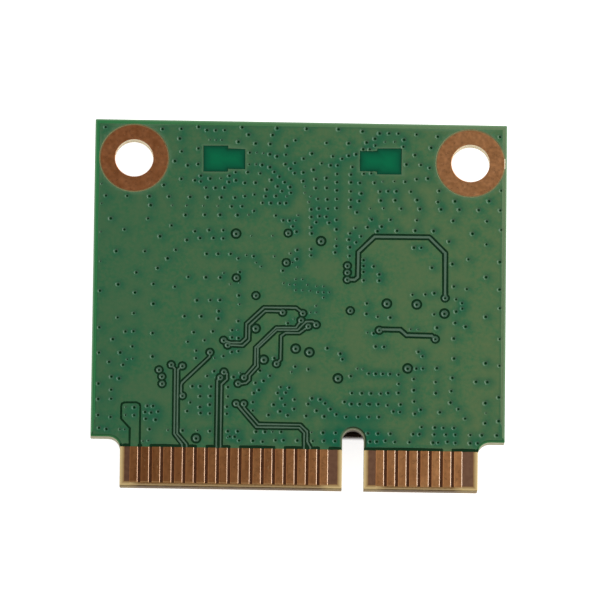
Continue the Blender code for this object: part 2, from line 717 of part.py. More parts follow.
def make_memory(material):
    """Small-outline memory with gull-wing leads along two sides."""
    bottom = SOLDER_GAP + MEMORY_STANDOFF
    shape = edge_beveled_block(MEMORY_WIDTH, MEMORY_LENGTH, bottom, MEMORY_HEIGHT)
    memory = add_object("memory_chip", shape, material)
    leads = bmesh.new()
    exit_z = (bottom + MEMORY_HEIGHT - MEMORY_LEAD_THICKNESS) / 2
    edge = MEMORY_WIDTH / 2
    bend = edge + MEMORY_LEAD_SHOULDER
    path = [
        (edge - CHIP_LEAD_WIDTH, exit_z), (bend, exit_z),
        (bend + MEMORY_LEAD_SLOPE, SOLDER_GAP), (edge + MEMORY_LEAD_REACH, SOLDER_GAP),
    ]
    for offset in side_values(MEMORY_LEADS_PER_SIDE, MEMORY_LEAD_PITCH):
        for side in (0, 1):
            shift = Matrix.Translation((0, offset, 0))
            place = shift @ Matrix.Rotation(side * math.pi, 4, "Z")
            add_strip(leads, path, MEMORY_LEAD_THICKNESS, MEMORY_LEAD_WIDTH, place)
    combine(memory, leads, "UNION")
    return memory


def make_crystal(material):
    """Ceramic crystal package with eased corners and a welded metal lid."""
    top = SOLDER_GAP + CRYSTAL_BASE_HEIGHT
    corner = CRYSTAL_LID_INSET
    outline = rounded(rectangle(CRYSTAL_WIDTH, CRYSTAL_LENGTH, corner))
    crystal = add_object("reference_crystal", prism(outline, SOLDER_GAP, top), material)
    lid = rectangle(
        CRYSTAL_WIDTH - 2 * CRYSTAL_LID_INSET, CRYSTAL_LENGTH - 2 * CRYSTAL_LID_INSET,
        2 * corner,
    )
    tool = prism(rounded(lid), top - CRYSTAL_LID_HEIGHT / 2, top + CRYSTAL_LID_HEIGHT)
    combine(crystal, tool, "UNION")
    return crystal


def make_inductor(material):
    """Wound choke: turns of wire between two square flanges."""
    lower = SOLDER_GAP + INDUCTOR_FLANGE
    upper = INDUCTOR_HEIGHT - INDUCTOR_FLANGE
    outline = rounded(rectangle(INDUCTOR_WIDTH, INDUCTOR_LENGTH, 2 * INDUCTOR_FLANGE))
    inductor = add_object("power_inductor_1", prism(outline, SOLDER_GAP, lower), material)
    turns = INDUCTOR_TURNS
    pitch = (upper - lower) / turns
    coil = INDUCTOR_COIL_DIAMETER / 2
    core = coil - pitch / 4
    shoulder = pitch * (1 - INDUCTOR_WIRE_SHARE) / 2
    profile = [(0, lower - INDUCTOR_FLANGE / 2)]
    profile.append((core, lower - INDUCTOR_FLANGE / 2))
    for index in range(turns):
        start = lower + index * pitch
        profile.append((core, start))
        profile.append((coil, start + shoulder))
        profile.append((coil, start + pitch - shoulder))
    profile.append((core, upper))
    profile.append((core, upper + INDUCTOR_FLANGE / 2))
    profile.append((0, upper + INDUCTOR_FLANGE / 2))
    combine(inductor, turned(profile, COIL_STEPS), "UNION")
    combine(inductor, prism(outline, upper, INDUCTOR_HEIGHT), "UNION")
    return inductor


def end_capped_block(size):
    """Two-ended part: a body with slightly proud metal caps, skinned over sections."""
    length, width, height = size
    cap = length * END_CAP_SHARE
    half = [
        (-length / 2, SMALL_EDGE), (SMALL_EDGE - length / 2, 0), (cap - length / 2, 0),
        (cap - length / 2, END_CAP_PROUD),
    ]
    sections = half + [(-x, inset) for x, inset in reversed(half)]
    shape = bmesh.new()
    rings = []
    for x, inset in sections:
        half_width = width / 2 - inset
        low = SOLDER_GAP + inset
        high = height - inset
        corners = [(-half_width, low), (half_width, low), (half_width, high), (-half_width, high)]
        rings.append([shape.verts.new((x, y, z)) for y, z in corners])
    for ring, following in zip(rings, rings[1:]):
        for index, corner in enumerate(ring):
            nxt = (index + 1) % len(ring)
            shape.faces.new((corner, ring[nxt], following[nxt], following[index]))
    shape.faces.new(rings[0])
    shape.faces.new(rings[-1])
    return shape


def copy_part(original, name, parent, x, y, turn=0.0):
    """Another piece with the same mesh and the same modifiers."""
    twin = original.copy()
    twin.name = name
    bpy.context.scene.collection.objects.link(twin)
    for modifier in twin.modifiers:
        modifier.object = modifier.object.copy()
        bpy.context.scene.collection.objects.link(modifier.object)
    seat_part(twin, parent, x, y, turn)
    return twin


def seat_part(part, parent, x, y, turn=0.0):
    """Put a part, and the tools that shape it, at its place on the board."""
    pieces = [part] + [modifier.object for modifier in part.modifiers]
    for piece in pieces:
        piece.parent = parent
        piece.location = (x, y, 0)
        piece.rotation_euler = (0, 0, turn)


def add_row(name, size, material, parent, places):
    """A numbered row of like two-ended parts, each its own piece."""
    first = None
    for number, (x, y, turn) in enumerate(places, start=1):
        label = f"{name}_{number}"
        if first is None:
            first = add_object(label, end_capped_block(size), material)
            seat_part(first, parent, x, y, turn)
        else:
            copy_part(first, label, parent, x, y, turn)


def fill_can(side, black, ceramic, tan, silver):
    """Lay out the parts inside the can, in three columns over the room's length."""
    front = SHIELD_Y - ROOM_LENGTH / 2
    back = SHIELD_Y + ROOM_LENGTH / 2
    upright = math.pi / 2
    radio_half = RADIO_CHIP_WIDTH / 2
    small_length, small_width, _ = SMALL_CAPACITOR
    large_length, large_width, _ = LARGE_CAPACITOR
    resistor_length, resistor_width, _ = RESISTOR
    _, filter_width, _ = FILTER_SIZE

    radio_left = RADIO_CHIP_X - radio_half
    radio_right = RADIO_CHIP_X + radio_half
    left_x = (radio_left - ROOM_WIDTH / 2) / 2
    left_parts = (small_width, MODULE_WIDTH)
    outer_left_x, left_module_x = spread(-ROOM_WIDTH / 2, radio_left, left_parts)
    right_parts = (resistor_width, MODULE_WIDTH, small_width)
    column_x, right_module_x, outer_right_x = spread(radio_right, ROOM_WIDTH / 2, right_parts)
    power_left = column_x + resistor_width / 2
    right_x = (power_left + ROOM_WIDTH / 2) / 2

    sizes = (small_width, small_width, RADIO_CHIP_WIDTH, small_width, resistor_width)
    coil_y, upper_y, radio_y, lower_y, contact_y = spread(back, front, sizes)
    radio = chip_mesh("radio_chip", RADIO_CHIP_WIDTH, RADIO_CHIP_HEIGHT, black)
    seat_part(radio, side, RADIO_CHIP_X, radio_y)
    row_x = [RADIO_CHIP_X + x for x in side_values(RADIO_ROW_COUNT, ROW_PITCH)]
    row = [(x, y, 0) for y in (lower_y, upper_y) for x in row_x]
    add_row("radio_capacitor", SMALL_CAPACITOR, tan, side, row)
    row_x = [RADIO_CHIP_X + x for x in side_values(OUTER_ROW_COUNT, ROW_PITCH)]
    add_row("radio_coil", SMALL_CAPACITOR, ceramic, side, [(x, coil_y, 0) for x in row_x])
    add_row("contact_resistor", RESISTOR, black, side, [(x, contact_y, 0) for x in row_x])
    column_y = [radio_y + y for y in side_values(SIDE_ROW_COUNT, SIDE_ROW_PITCH)]
    row = [(column_x, y, upright) for y in column_y]
    add_row("radio_resistor", RESISTOR, black, side, row)

    sizes = (
        filter_width, MODULE_WIDTH, MEMORY_LENGTH, CRYSTAL_LENGTH, small_width, large_width,
    )
    filter_y, module_y, memory_y, crystal_y, load_y, bulk_y = spread(back, front, sizes)
    module = chip_mesh("front_end_module_1", MODULE_WIDTH, MODULE_HEIGHT, black)
    seat_part(module, side, left_module_x, module_y)
    seat_part(make_memory(black), side, left_x, memory_y)
    seat_part(make_crystal(silver), side, left_x, crystal_y)
    row = [(left_x + x, load_y, 0) for x in side_values(2, small_length + PART_GAP)]
    add_row("crystal_capacitor", SMALL_CAPACITOR, tan, side, row)
    supply_row = [(left_x, bulk_y, 0)]
    filter_row = [(left_module_x, filter_y, 0)]
    beside = side_values(MODULE_ROW_COUNT, ROW_PITCH)
    module_row = [(outer_left_x, module_y + y, upright) for y in beside]

    sizes = (
        filter_width, MODULE_WIDTH, REGULATOR_WIDTH, INDUCTOR_LENGTH, large_width,
        resistor_width,
    )
    filter_y, module_y, regulator_y, inductor_y, output_y, sense_y = spread(back, front, sizes)
    copy_part(module, "front_end_module_2", side, right_module_x, module_y)
    filter_row.append((right_module_x, filter_y, 0))
    module_row += [(outer_right_x, module_y + y, upright) for y in beside]
    add_row("band_filter", FILTER_SIZE, ceramic, side, filter_row)
    add_row("module_capacitor", SMALL_CAPACITOR, tan, side, module_row)
    regulator = chip_mesh("power_regulator", REGULATOR_WIDTH, REGULATOR_HEIGHT, black)
    seat_part(regulator, side, right_x, regulator_y)
    chokes = (INDUCTOR_WIDTH, INDUCTOR_WIDTH)
    first_x, second_x = spread(power_left, ROOM_WIDTH / 2, chokes)
    inductor = make_inductor(black)
    seat_part(inductor, side, first_x, inductor_y)
    copy_part(inductor, "power_inductor_2", side, second_x, inductor_y)
    supply_row += [(right_x + x, output_y, 0) for x in side_values(2, large_length + PART_GAP)]
    add_row("supply_capacitor", LARGE_CAPACITOR, tan, side, supply_row)
    sense_x = side_values(SENSE_ROW_COUNT, resistor_length + PART_GAP)
    row = [(right_x + x, sense_y, 0) for x in sense_x]
    add_row("supply_resistor", RESISTOR, black, side, row)


def add_antenna_parts(side, cream, gold, tan, ceramic):
    """The two receptacles at the back edge, each with its matching parts."""
    match_places = []
    coil_places = []
    small_length, small_width, _ = SMALL_CAPACITOR
    for number, direction in ((1, 1), (2, -1)):
        x, y = receptacle_place(direction)
        stand = bpy.data.objects.new(f"receptacle_stand_{number}", None)
        bpy.context.scene.collection.objects.link(stand)
        stand.parent = side
        stand.location = (x, y, 0)
        stand.rotation_euler = (0, 0, 0 if direction > 0 else math.pi)
        make_receptacle_shell(f"antenna_receptacle_shell_{number}", gold, stand)
        make_receptacle_insulator(f"antenna_receptacle_base_{number}", cream, stand)
        make_receptacle_pin(f"antenna_receptacle_pin_{number}", gold, stand)
        tail_end = x + direction * (RECEPTACLE_BASE_LENGTH / 2 + RECEPTACLE_TAIL_REACH)
        match_x, coil_x = spread(tail_end, -DATUM_X, (small_length, small_width))
        match_places.append((match_x, y, 0))
        coil_places.append((coil_x, y, math.pi / 2))
    add_row("antenna_capacitor", SMALL_CAPACITOR, tan, side, match_places)
    add_row("antenna_coil", SMALL_CAPACITOR, ceramic, side, coil_places)


def build_card():
    clear_scene()
    mask = make_material("solder mask green", (0.03, 0.13, 0.06), 0.4)
    tin = make_material("tinned steel", (0.62, 0.62, 0.60), 0.35, 1.0)
    gold = make_material("gold flash", (0.75, 0.55, 0.25), 0.3, 1.0)
    cream = make_material("cream moulding", (0.75, 0.70, 0.58), 0.55)
    black = make_material("moulded epoxy", (0.03, 0.03, 0.03), 0.6)
    tan = make_material("capacitor ceramic", (0.40, 0.27, 0.17), 0.5)
    ceramic = make_material("filter ceramic", (0.80, 0.80, 0.76), 0.5)
    silver = make_material("crystal package", (0.66, 0.63, 0.55), 0.35, 0.8)

    component_side = bpy.data.objects.new("component_side", None)
    bpy.context.scene.collection.objects.link(component_side)
    component_side.location = (0, 0, COMPONENT_FACE_Z)
    component_side.rotation_euler = (0, math.pi, 0)

    make_board(mask)
    make_fence(tin, component_side)
    make_lid(tin, component_side)
    add_antenna_parts(component_side, cream, gold, tan, ceramic)
    fill_can(component_side, black, ceramic, tan, silver)


build_card()
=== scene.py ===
# %% [markdown]
# # A half-size wireless card for a laptop
# The card lies on the flat lid of its shield can, with its solder side up.
# Nearly all that is seen is one face of a circuit board: green solder mask
# over copper, filled drill holes, a few traces and a row of gold contacts.
# The solids come ready made in the frame. This lesson gives them the relief
# of a few hundredths of a millimetre, and the finishes, that make it real.

import math
import random

import bpy
import numpy as np
from mathutils import Matrix, Vector
from mathutils.geometry import delaunay_2d_cdt


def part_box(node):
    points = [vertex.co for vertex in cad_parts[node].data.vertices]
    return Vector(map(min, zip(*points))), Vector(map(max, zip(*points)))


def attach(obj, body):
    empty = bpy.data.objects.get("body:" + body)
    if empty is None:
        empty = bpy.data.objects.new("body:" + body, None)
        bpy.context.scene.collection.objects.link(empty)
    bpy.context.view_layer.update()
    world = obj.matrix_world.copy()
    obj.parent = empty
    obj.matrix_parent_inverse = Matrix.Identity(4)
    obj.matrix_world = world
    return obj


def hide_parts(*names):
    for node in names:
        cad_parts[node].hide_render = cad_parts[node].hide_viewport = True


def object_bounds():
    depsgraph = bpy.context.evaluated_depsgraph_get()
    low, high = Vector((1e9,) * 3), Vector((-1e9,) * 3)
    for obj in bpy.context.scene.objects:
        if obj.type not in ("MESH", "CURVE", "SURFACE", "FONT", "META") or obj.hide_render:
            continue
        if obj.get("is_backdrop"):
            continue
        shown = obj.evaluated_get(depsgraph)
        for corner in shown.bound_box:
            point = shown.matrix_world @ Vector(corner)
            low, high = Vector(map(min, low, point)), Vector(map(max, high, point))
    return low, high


MM = 0.001
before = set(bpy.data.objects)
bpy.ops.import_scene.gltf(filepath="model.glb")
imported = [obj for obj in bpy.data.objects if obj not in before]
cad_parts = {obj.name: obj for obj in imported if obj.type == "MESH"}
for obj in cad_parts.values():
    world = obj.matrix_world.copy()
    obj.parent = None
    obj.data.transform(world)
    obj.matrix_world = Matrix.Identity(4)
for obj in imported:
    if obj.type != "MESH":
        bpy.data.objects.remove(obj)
cad_bounds = [list(corner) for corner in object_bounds()]
scene = bpy.context.scene
board_low, board_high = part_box("circuit_board")
BOARD_WIDTH = (board_high.x - board_low.x) / MM
BOARD_LENGTH = (board_high.y - board_low.y) / MM
print(f"{len(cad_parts)} solids, board {BOARD_WIDTH:.1f} x {BOARD_LENGTH:.1f} mm")

# %% [markdown]
# ## The camera
# A product photographer stands well back with a long lens, so that the card's
# sides stay parallel. The camera here is 750 mm away and leans a little
# towards the contacts, which is why the walls that face them can be seen.

# %% Camera
VIEW_TILT = math.radians(12.5)
VIEW_YAW = math.radians(1.145)
VIEW_ROLL = math.radians(0.688)
VIEW_DISTANCE = 750 * MM
VIEW_AIM = Vector((0.020, 0.372, 3.3)) * MM
SENSOR_MM = 36.0
PICTURE_WIDTH = 600
FOCAL_PIXELS = 10457


def add_camera():
    back = Vector((
        -math.sin(VIEW_YAW) * math.cos(VIEW_TILT),
        -math.sin(VIEW_TILT),
        math.cos(VIEW_TILT) * math.cos(VIEW_YAW),
    )).normalized()
    right = Vector((0, 1, 0)).cross(back).normalized()
    turn = Matrix((right, back.cross(right), back)).transposed() @ Matrix.Rotation(VIEW_ROLL, 3, "Z")
    data = bpy.data.cameras.new("camera")
    data.sensor_width = SENSOR_MM
    data.lens = SENSOR_MM * FOCAL_PIXELS / PICTURE_WIDTH
    data.clip_start = 0.01
    data.clip_end = 10
    camera = bpy.data.objects.new("camera", data)
    scene.collection.objects.link(camera)
    camera.matrix_world = Matrix.Translation(VIEW_AIM + back * VIEW_DISTANCE) @ turn.to_4x4()
    return camera


scene.camera = add_camera()
print(f"lens {scene.camera.data.lens:.0f} mm at {VIEW_DISTANCE / MM:.0f} mm")

# %% [markdown]
# ## Helpers for colours and node trees
# Colours are easiest to judge as the 0 to 255 values of a picture, but a
# shader wants linear light, so `tone` converts them. Each finish below is a
# small tree of nodes round one Principled shader. Written out link by link,
# such a tree is long and hard to follow, so `Finish` holds one tree and has a
# short method for each step that recurs.

# %% Colour helper
def tone(red, green, blue):
    """A picture colour, 0 to 255, as linear light."""
    def linear(value):
        value /= 255
        return value / 12.92 if value <= 0.04045 else ((value + 0.055) / 1.055) ** 2.4
    return (linear(red), linear(green), linear(blue), 1.0)


print("white is", tone(255, 255, 255)[:3])


# %% Node helper
class Finish:
    """One material with a Principled shader and room for a few helper nodes."""

    def __init__(self, name, colour, roughness, metallic=0.0, **sockets):
        self.material = bpy.data.materials.new(name)
        self.material.use_nodes = True
        self.nodes = self.material.node_tree.nodes
        self.links = self.material.node_tree.links
        self.shader = self.nodes["Principled BSDF"]
        self.shader.inputs["Base Color"].default_value = colour
        self.shader.inputs["Roughness"].default_value = roughness
        self.shader.inputs["Metallic"].default_value = metallic
        for socket, value in sockets.items():
            self.shader.inputs[socket.replace("_", " ")].default_value = value

    def set(self, node, socket, value):
        if isinstance(value, bpy.types.NodeSocket):
            self.links.new(value, node.inputs[socket])
        else:
            node.inputs[socket].default_value = value

    def place(self, kind="Object", stretch=(1, 1, 1)):
        """Where on the object a point is, in metres or as a share of its box."""
        where = self.nodes.new("ShaderNodeTexCoord").outputs[kind]
        if stretch == (1, 1, 1):
            return where
        mapping = self.nodes.new("ShaderNodeMapping")
        mapping.inputs["Scale"].default_value = stretch
        self.links.new(where, mapping.inputs["Vector"])
        return mapping.outputs["Vector"]

    def noise(self, size, detail=3.0, stretch=(1, 1, 1)):
        """Soft blotches about `size` metres across, from 0 to 1."""
        node = self.nodes.new("ShaderNodeTexNoise")
        node.inputs["Scale"].default_value = 1 / size
        node.inputs["Detail"].default_value = detail
        self.links.new(self.place(stretch=stretch), node.inputs["Vector"])
        return node.outputs["Fac"]

    def range(self, value, low, high, to_low=0.0, to_high=1.0):
        """Stretch low..high to a new range, and clip beyond it."""
        node = self.nodes.new("ShaderNodeMapRange")
        self.set(node, "Value", value)
        for socket, number in zip(
            ("From Min", "From Max", "To Min", "To Max"), (low, high, to_low, to_high)
        ):
            node.inputs[socket].default_value = number
        return node.outputs["Result"]

    def math(self, operation, first, second=0.0):
        node = self.nodes.new("ShaderNodeMath")
        node.operation = operation
        self.set(node, 0, first)
        self.set(node, 1, second)
        return node.outputs["Value"]

    def axis(self, name, kind="Object"):
        """One coordinate of the object's own frame, or its share of the box."""
        node = self.nodes.new("ShaderNodeSeparateXYZ")
        self.links.new(self.place(kind), node.inputs["Vector"])
        return node.outputs[name]

    def mix(self, share, first, second):
        """Blend two colours by a share from 0 to 1."""
        node = self.nodes.new("ShaderNodeMix")
        node.data_type = "RGBA"
        self.set(node, 0, share)
        self.set(node, 6, first)
        self.set(node, 7, second)
        return node.outputs[2]

    def tint(self, shade, value_name, low, high, colour):
        """Blend towards a colour as a value stored in the mesh goes from low to high."""
        node = self.nodes.new("ShaderNodeAttribute")
        node.attribute_name = value_name
        return self.mix(self.range(node.outputs["Fac"], low, high), shade, colour)

    def across(self, left, right, start, end):
        """Blend each colour of `left` into its fellow in `right` from start to end along X."""
        way = self.range(self.axis("X"), start, end)
        return [self.mix(way, near, far) for near, far in zip(left, right)]

    def colour(self, value):
        self.links.new(value, self.shader.inputs["Base Color"])
        return self

    def roughness(self, value):
        self.links.new(value, self.shader.inputs["Roughness"])
        return self

    def bump(self, height, depth):
        """Fine relief `depth` metres high that needs no geometry."""
        node = self.nodes.new("ShaderNodeBump")
        node.inputs["Distance"].default_value = depth
        self.links.new(height, node.inputs["Height"])
        self.links.new(node.outputs["Normal"], self.shader.inputs["Normal"])
        return self


print("steps of a finish:", ", ".join(word for word in vars(Finish) if not word.startswith("_")))

# %% [markdown]
# ## A helper for pieces
# Each piece made below is a list of corners and a list of faces, because its
# shape follows from sums and not from pushing corners about by hand. This
# helper turns the two lists into an object. `kinds` says which of the piece's
# finishes each face takes. `dress` then seats the piece on the card's body
# and hides the solids that it stands in for.

# %% Piece helpers
def add_object(name, places, faces, materials, kinds=()):
    """An object from corners in metres and faces."""
    mesh = bpy.data.meshes.new(name)
    mesh.from_pydata(places, [], faces)
    for material in materials:
        mesh.materials.append(material)
    if len(kinds):
        mesh.polygons.foreach_set("material_index", kinds)
    piece = bpy.data.objects.new(name, mesh)
    scene.collection.objects.link(piece)
    return piece


def soften(piece, degrees):
    """Shade the piece smooth, but keep each edge sharper than the angle."""
    piece.data.shade_smooth()
    piece.data.set_sharp_from_angle(angle=math.radians(degrees))


def dress(piece, slot, *nodes):
    """Seat a piece on the card's body and hide the solids it stands in for; `slot` is not used."""
    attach(piece, "root")
    if nodes:
        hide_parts(*nodes)


print("solids on the card:", ", ".join(sorted({name.rstrip("_0123456789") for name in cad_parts})))

# %% [markdown]
# ## The board's outline
# A board is routed from a large panel by a round cutter, so its inner corners
# are rounded. The drawing measures from the contact edge and from a line
# halfway between the screw holes: u runs along the contacts and v away from
# them, both in millimetres.

# %% Outline of the board
DATUM_U = 0.08                      # the drawing's middle line, from the board's middle
TAB_WIDTH = 25.6
TAB_DEPTH = 3.56
TAB_CORNER = 0.12
SHOULDER_FILLET = 0.85
BOARD_CORNER = 0.1
NOTCH_U = 3.86
NOTCH_WIDTH = 1.56
NOTCH_DEPTH = 4.4
LEFT_OVER, BACK_OVER = 0.05, 0.085  # what the router leaves on at the left and the back
LEFT_U = -BOARD_WIDTH / 2 - DATUM_U - LEFT_OVER
RIGHT_U = BOARD_WIDTH / 2 - DATUM_U
BACK_V = BOARD_LENGTH + BACK_OVER
ARC_STEP = math.radians(11.25)


def rounded(corners):
    """Round each (u, v, radius) corner of a closed outline with an arc."""
    outline = []
    for index, (u, v, radius) in enumerate(corners):
        here = Vector((u, v))
        before = Vector(corners[index - 1][:2]) - here
        after = Vector(corners[(index + 1) % len(corners)][:2]) - here
        if radius <= 0:
            outline.append(here)
            continue
        radius = min(radius, before.length / 2, after.length / 2)
        before.normalize()
        after.normalize()
        half = before.angle(after) / 2
        centre = here + (before + after).normalized() * radius / math.sin(half)
        start = here + before * radius / math.tan(half) - centre
        end = here + after * radius / math.tan(half) - centre
        sweep = start.angle_signed(end)
        steps = max(2, round(abs(sweep) / ARC_STEP))
        outline += [
            centre + Matrix.Rotation(-sweep * step / steps, 2) @ start
            for step in range(steps + 1)
        ]
    return [p for i, p in enumerate(outline) if (p - outline[i - 1]).length > 1e-4]


BOARD_OUTLINE = rounded([
    (-TAB_WIDTH / 2, 0, TAB_CORNER),
    (NOTCH_U - NOTCH_WIDTH / 2, 0, 0),
    (NOTCH_U - NOTCH_WIDTH / 2, NOTCH_DEPTH, NOTCH_WIDTH / 2),
    (NOTCH_U + NOTCH_WIDTH / 2, NOTCH_DEPTH, NOTCH_WIDTH / 2),
    (NOTCH_U + NOTCH_WIDTH / 2, 0, 0),
    (TAB_WIDTH / 2, 0, TAB_CORNER),
    (TAB_WIDTH / 2, TAB_DEPTH, SHOULDER_FILLET),
    (RIGHT_U, TAB_DEPTH, BOARD_CORNER),
    (RIGHT_U, BACK_V, BOARD_CORNER),
    (LEFT_U, BACK_V, BOARD_CORNER),
    (LEFT_U, TAB_DEPTH, BOARD_CORNER),
    (-TAB_WIDTH / 2, TAB_DEPTH, SHOULDER_FILLET),
])
print(f"outline of {len(BOARD_OUTLINE)} points")

# %% [markdown]
# ## Holes and bare lands
# The two screw holes are drilled without plating. Round each lies a bare
# copper land, 5 mm across, that the screw's head presses on.

# %% Screw holes and lands
SCREW_U = 12.1
SCREW_V = BOARD_LENGTH - 2.75
HOLE_RADIUS = 1.375
LAND_RADIUS = 2.5
COPPER_RADIUS = 2.43
HOLE_STEPS = 64


def circle(centre, radius, steps):
    turns = [2 * math.pi * step / steps for step in range(steps)]
    return [Vector((centre[0] + radius * math.cos(a), centre[1] + radius * math.sin(a))) for a in turns]


SCREW_PLACES = [(-SCREW_U, SCREW_V), (SCREW_U, SCREW_V)]
HOLES = [circle(place, HOLE_RADIUS, HOLE_STEPS) for place in SCREW_PLACES]
print(f"holes {2 * SCREW_U:.2f} mm apart")

# %% [markdown]
# ## The drill chart
# Hundreds of tiny plated holes tie the copper planes together. The mask runs
# into each and dries with a dimple. A board house gets their places as a
# drill chart, and this is one: full holes, and faint ones that the mask has
# nearly levelled. The places were chosen from the card. They follow no
# grid, so each is written out, from the back of the board to its front.

# %% Drill chart, back third
HOLES_BACK_LEFT = [
    (-14.2, 26.3), (-10.1, 26.23), (-8.75, 26.27), (-7.5, 26.43), (-6.9, 26.2), (-6.28, 26.2),
    (-5.62, 26.22), (-8.85, 25.55), (-7.5, 24.83), (-8.7, 24.6), (-9.18, 23.88), (-7.5, 23.68),
    (-8.25, 23.58), (-8.7, 22.57), (-7.3, 22.83), (-7.3, 22.4), (-7.72, 22.48), (-6.62, 22.63),
    (-5.25, 22.85), (-5.27, 22.4), (-9.95, 22.1), (-6.92, 21.95), (-6.24, 21.95), (-5.6, 21.98),
    (-14.1, 21.25), (-12.57, 21.25), (-10.97, 21.25), (-9.57, 21.25), (-8.05, 21.25), (-6.8, 21.25),
    (-5.8, 21.25), (-10.87, 20.6), (-5.05, 20.6), (-8.36, 19.92), (-6.97, 19.95), (-5.88, 19.97),
    (-13.73, 19.57), (-11.05, 19.6), (-9.36, 19.12), (-12.73, 18.77), (-10.17, 18.32),
    (-7.66, 18.72), (-6.65, 18.83), (-5.63, 18.83), (-7.29, 18.23), (-6.33, 18.25), (-5.63, 18.23),
    (-8.24, 18.07),
]
HOLES_BACK_MIDDLE = [
    (-4.37, 26.45), (-1.85, 26.43), (0.27, 26.42), (2.57, 26.43), (4.3, 26.3), (-3.9, 25.92),
    (-2.17, 25.92), (-0.52, 25.55), (4.6, 25.48), (-4.63, 25.38), (-3.38, 25.28), (-2.33, 25.25),
    (-1.12, 25.13), (1.72, 25.4), (3.31, 25.4), (4.36, 24.98), (4.83, 24.98), (-3.8, 24.59),
    (-2.35, 24.5), (-1.84, 24.35), (-1.2, 24.48), (0.67, 24.6), (0.07, 24.21), (2.18, 24.42),
    (2.85, 24.25), (3.32, 24.48), (3.85, 24.6), (-0.54, 23.88), (-1.22, 23.78), (1.38, 23.88),
    (2.03, 23.75), (2.53, 23.75), (-2.9, 23.7), (-2.34, 23.55), (-0.85, 23.45), (0.8, 23.4),
    (3.6, 23.65), (-4.8, 23.13), (-3.92, 23.15), (-3.03, 23.07), (-2.02, 23.2), (-0.55, 23.13),
    (0.07, 23.19), (4.42, 23.17), (4.95, 23.2), (-4.77, 22.53), (-1.65, 22.85), (-2.22, 22.6),
    (1.74, 22.81), (0.97, 22.7), (-1.26, 22.45), (-4.12, 22.35), (-3.35, 22.38), (0.07, 22.55),
    (4.15, 22.48), (-1.78, 22.13), (-0.87, 22.1), (0.98, 22.05), (1.77, 22.07), (-2.55, 21.88),
    (-1.45, 21.78), (-0.8, 21.67), (4.26, 21.71), (-2.62, 21.39), (-1.88, 21.43), (-3.43, 21.5),
    (-4.11, 21.37), (-4.82, 21.25), (1.14, 21.25), (1.82, 21.23), (4.11, 21.15), (-2.84, 20.9),
    (-2.24, 20.89), (-1.6, 20.89), (-1.14, 20.91), (-4.3, 20.62), (0.67, 20.47), (1.21, 20.55),
    (1.87, 20.55), (-3.44, 20.28), (3.96, 20.31), (-4.62, 19.97), (-1.87, 19.98), (1.27, 19.98),
    (0.68, 19.92), (1.76, 19.95), (-1.33, 19.63), (-0.88, 19.62), (1.04, 19.53), (1.97, 19.51),
    (-0.64, 19.2), (0.69, 19.15), (-0.37, 18.81), (3.86, 19.15), (4.73, 19.23), (0.72, 18.7),
    (3.48, 18.75), (4.27, 18.55), (3.4, 18.29), (3.93, 18.1), (2.5, 23.11), (2.5, 22.51),
    (2.5, 21.91), (2.5, 21.27), (2.5, 20.59), (2.5, 19.73), (2.5, 19.03), (3.5, 23.09),
    (3.5, 22.52), (3.5, 21.85), (3.5, 21.23), (3.5, 20.7),
]
HOLES_BACK_RIGHT = [
    (5.53, 26.17), (6.21, 26.18), (6.88, 26.18), (8.19, 26.13), (9.72, 26.0), (14.2, 26.05),
    (5.2, 25.77), (7.3, 25.73), (5.23, 25.27), (7.25, 25.21), (9.25, 25.17), (8.09, 24.61),
    (7.48, 23.91), (8.52, 23.89), (9.15, 23.68), (8.23, 22.82), (9.04, 22.89), (7.41, 22.62),
    (5.2, 22.51), (9.85, 21.99), (5.6, 21.87), (6.18, 21.91), (6.78, 21.92), (7.82, 21.9),
    (14.32, 22.08), (5.66, 21.21), (6.7, 21.25), (8.27, 21.3), (9.78, 21.17), (11.0, 21.25),
    (13.45, 21.31), (7.13, 20.63), (8.48, 20.63), (10.0, 20.63), (11.32, 20.63), (12.71, 20.63),
    (14.26, 20.63), (5.03, 19.8), (6.38, 19.8), (8.27, 19.8), (10.88, 19.8), (13.31, 19.8),
    (5.74, 19.29), (14.34, 19.18), (5.45, 18.95), (6.85, 19.0), (8.16, 19.03), (9.48, 19.03),
    (12.28, 18.88), (10.59, 18.27), (13.29, 18.1),
]
BACK_THIRD = HOLES_BACK_LEFT + HOLES_BACK_MIDDLE + HOLES_BACK_RIGHT
print(f"{len(BACK_THIRD)} holes in the back third")

# %% Drill chart, middle third
HOLES_MIDDLE_LEFT = [
    (-13.3, 17.17), (-11.24, 17.19), (-9.03, 17.33), (-6.8, 17.08), (-5.98, 17.09), (-5.08, 17.1),
    (-9.6, 16.7), (-10.3, 15.97), (-11.83, 15.62), (-8.1, 15.35), (-6.83, 15.35), (-5.8, 15.35),
    (-13.12, 14.73), (-10.6, 14.8), (-9.06, 14.62), (-11.9, 14.15), (-7.45, 13.65), (-6.5, 13.67),
    (-5.8, 13.7), (-10.58, 13.35), (-5.87, 12.88), (-5.9, 12.33), (-11.97, 12.62), (-8.33, 12.47),
    (-7.12, 12.48), (-13.12, 12.29), (-12.55, 11.27), (-11.97, 11.3), (-10.6, 11.19),
    (-7.65, 11.3), (-6.28, 11.39), (-13.44, 10.7), (-6.87, 10.72), (-8.07, 10.59), (-12.03, 10.19),
    (-7.46, 9.95), (-7.46, 9.4), (-12.9, 9.73), (-10.58, 9.48), (-5.5, 9.58), (-13.68, 9.03),
    (-14.42, 14.23), (-14.42, 11.55), (-14.42, 9.7), (-14.42, 7.43), (-14.42, 6.3),
    (-14.42, 5.13), (-14.33, 4.19),
]
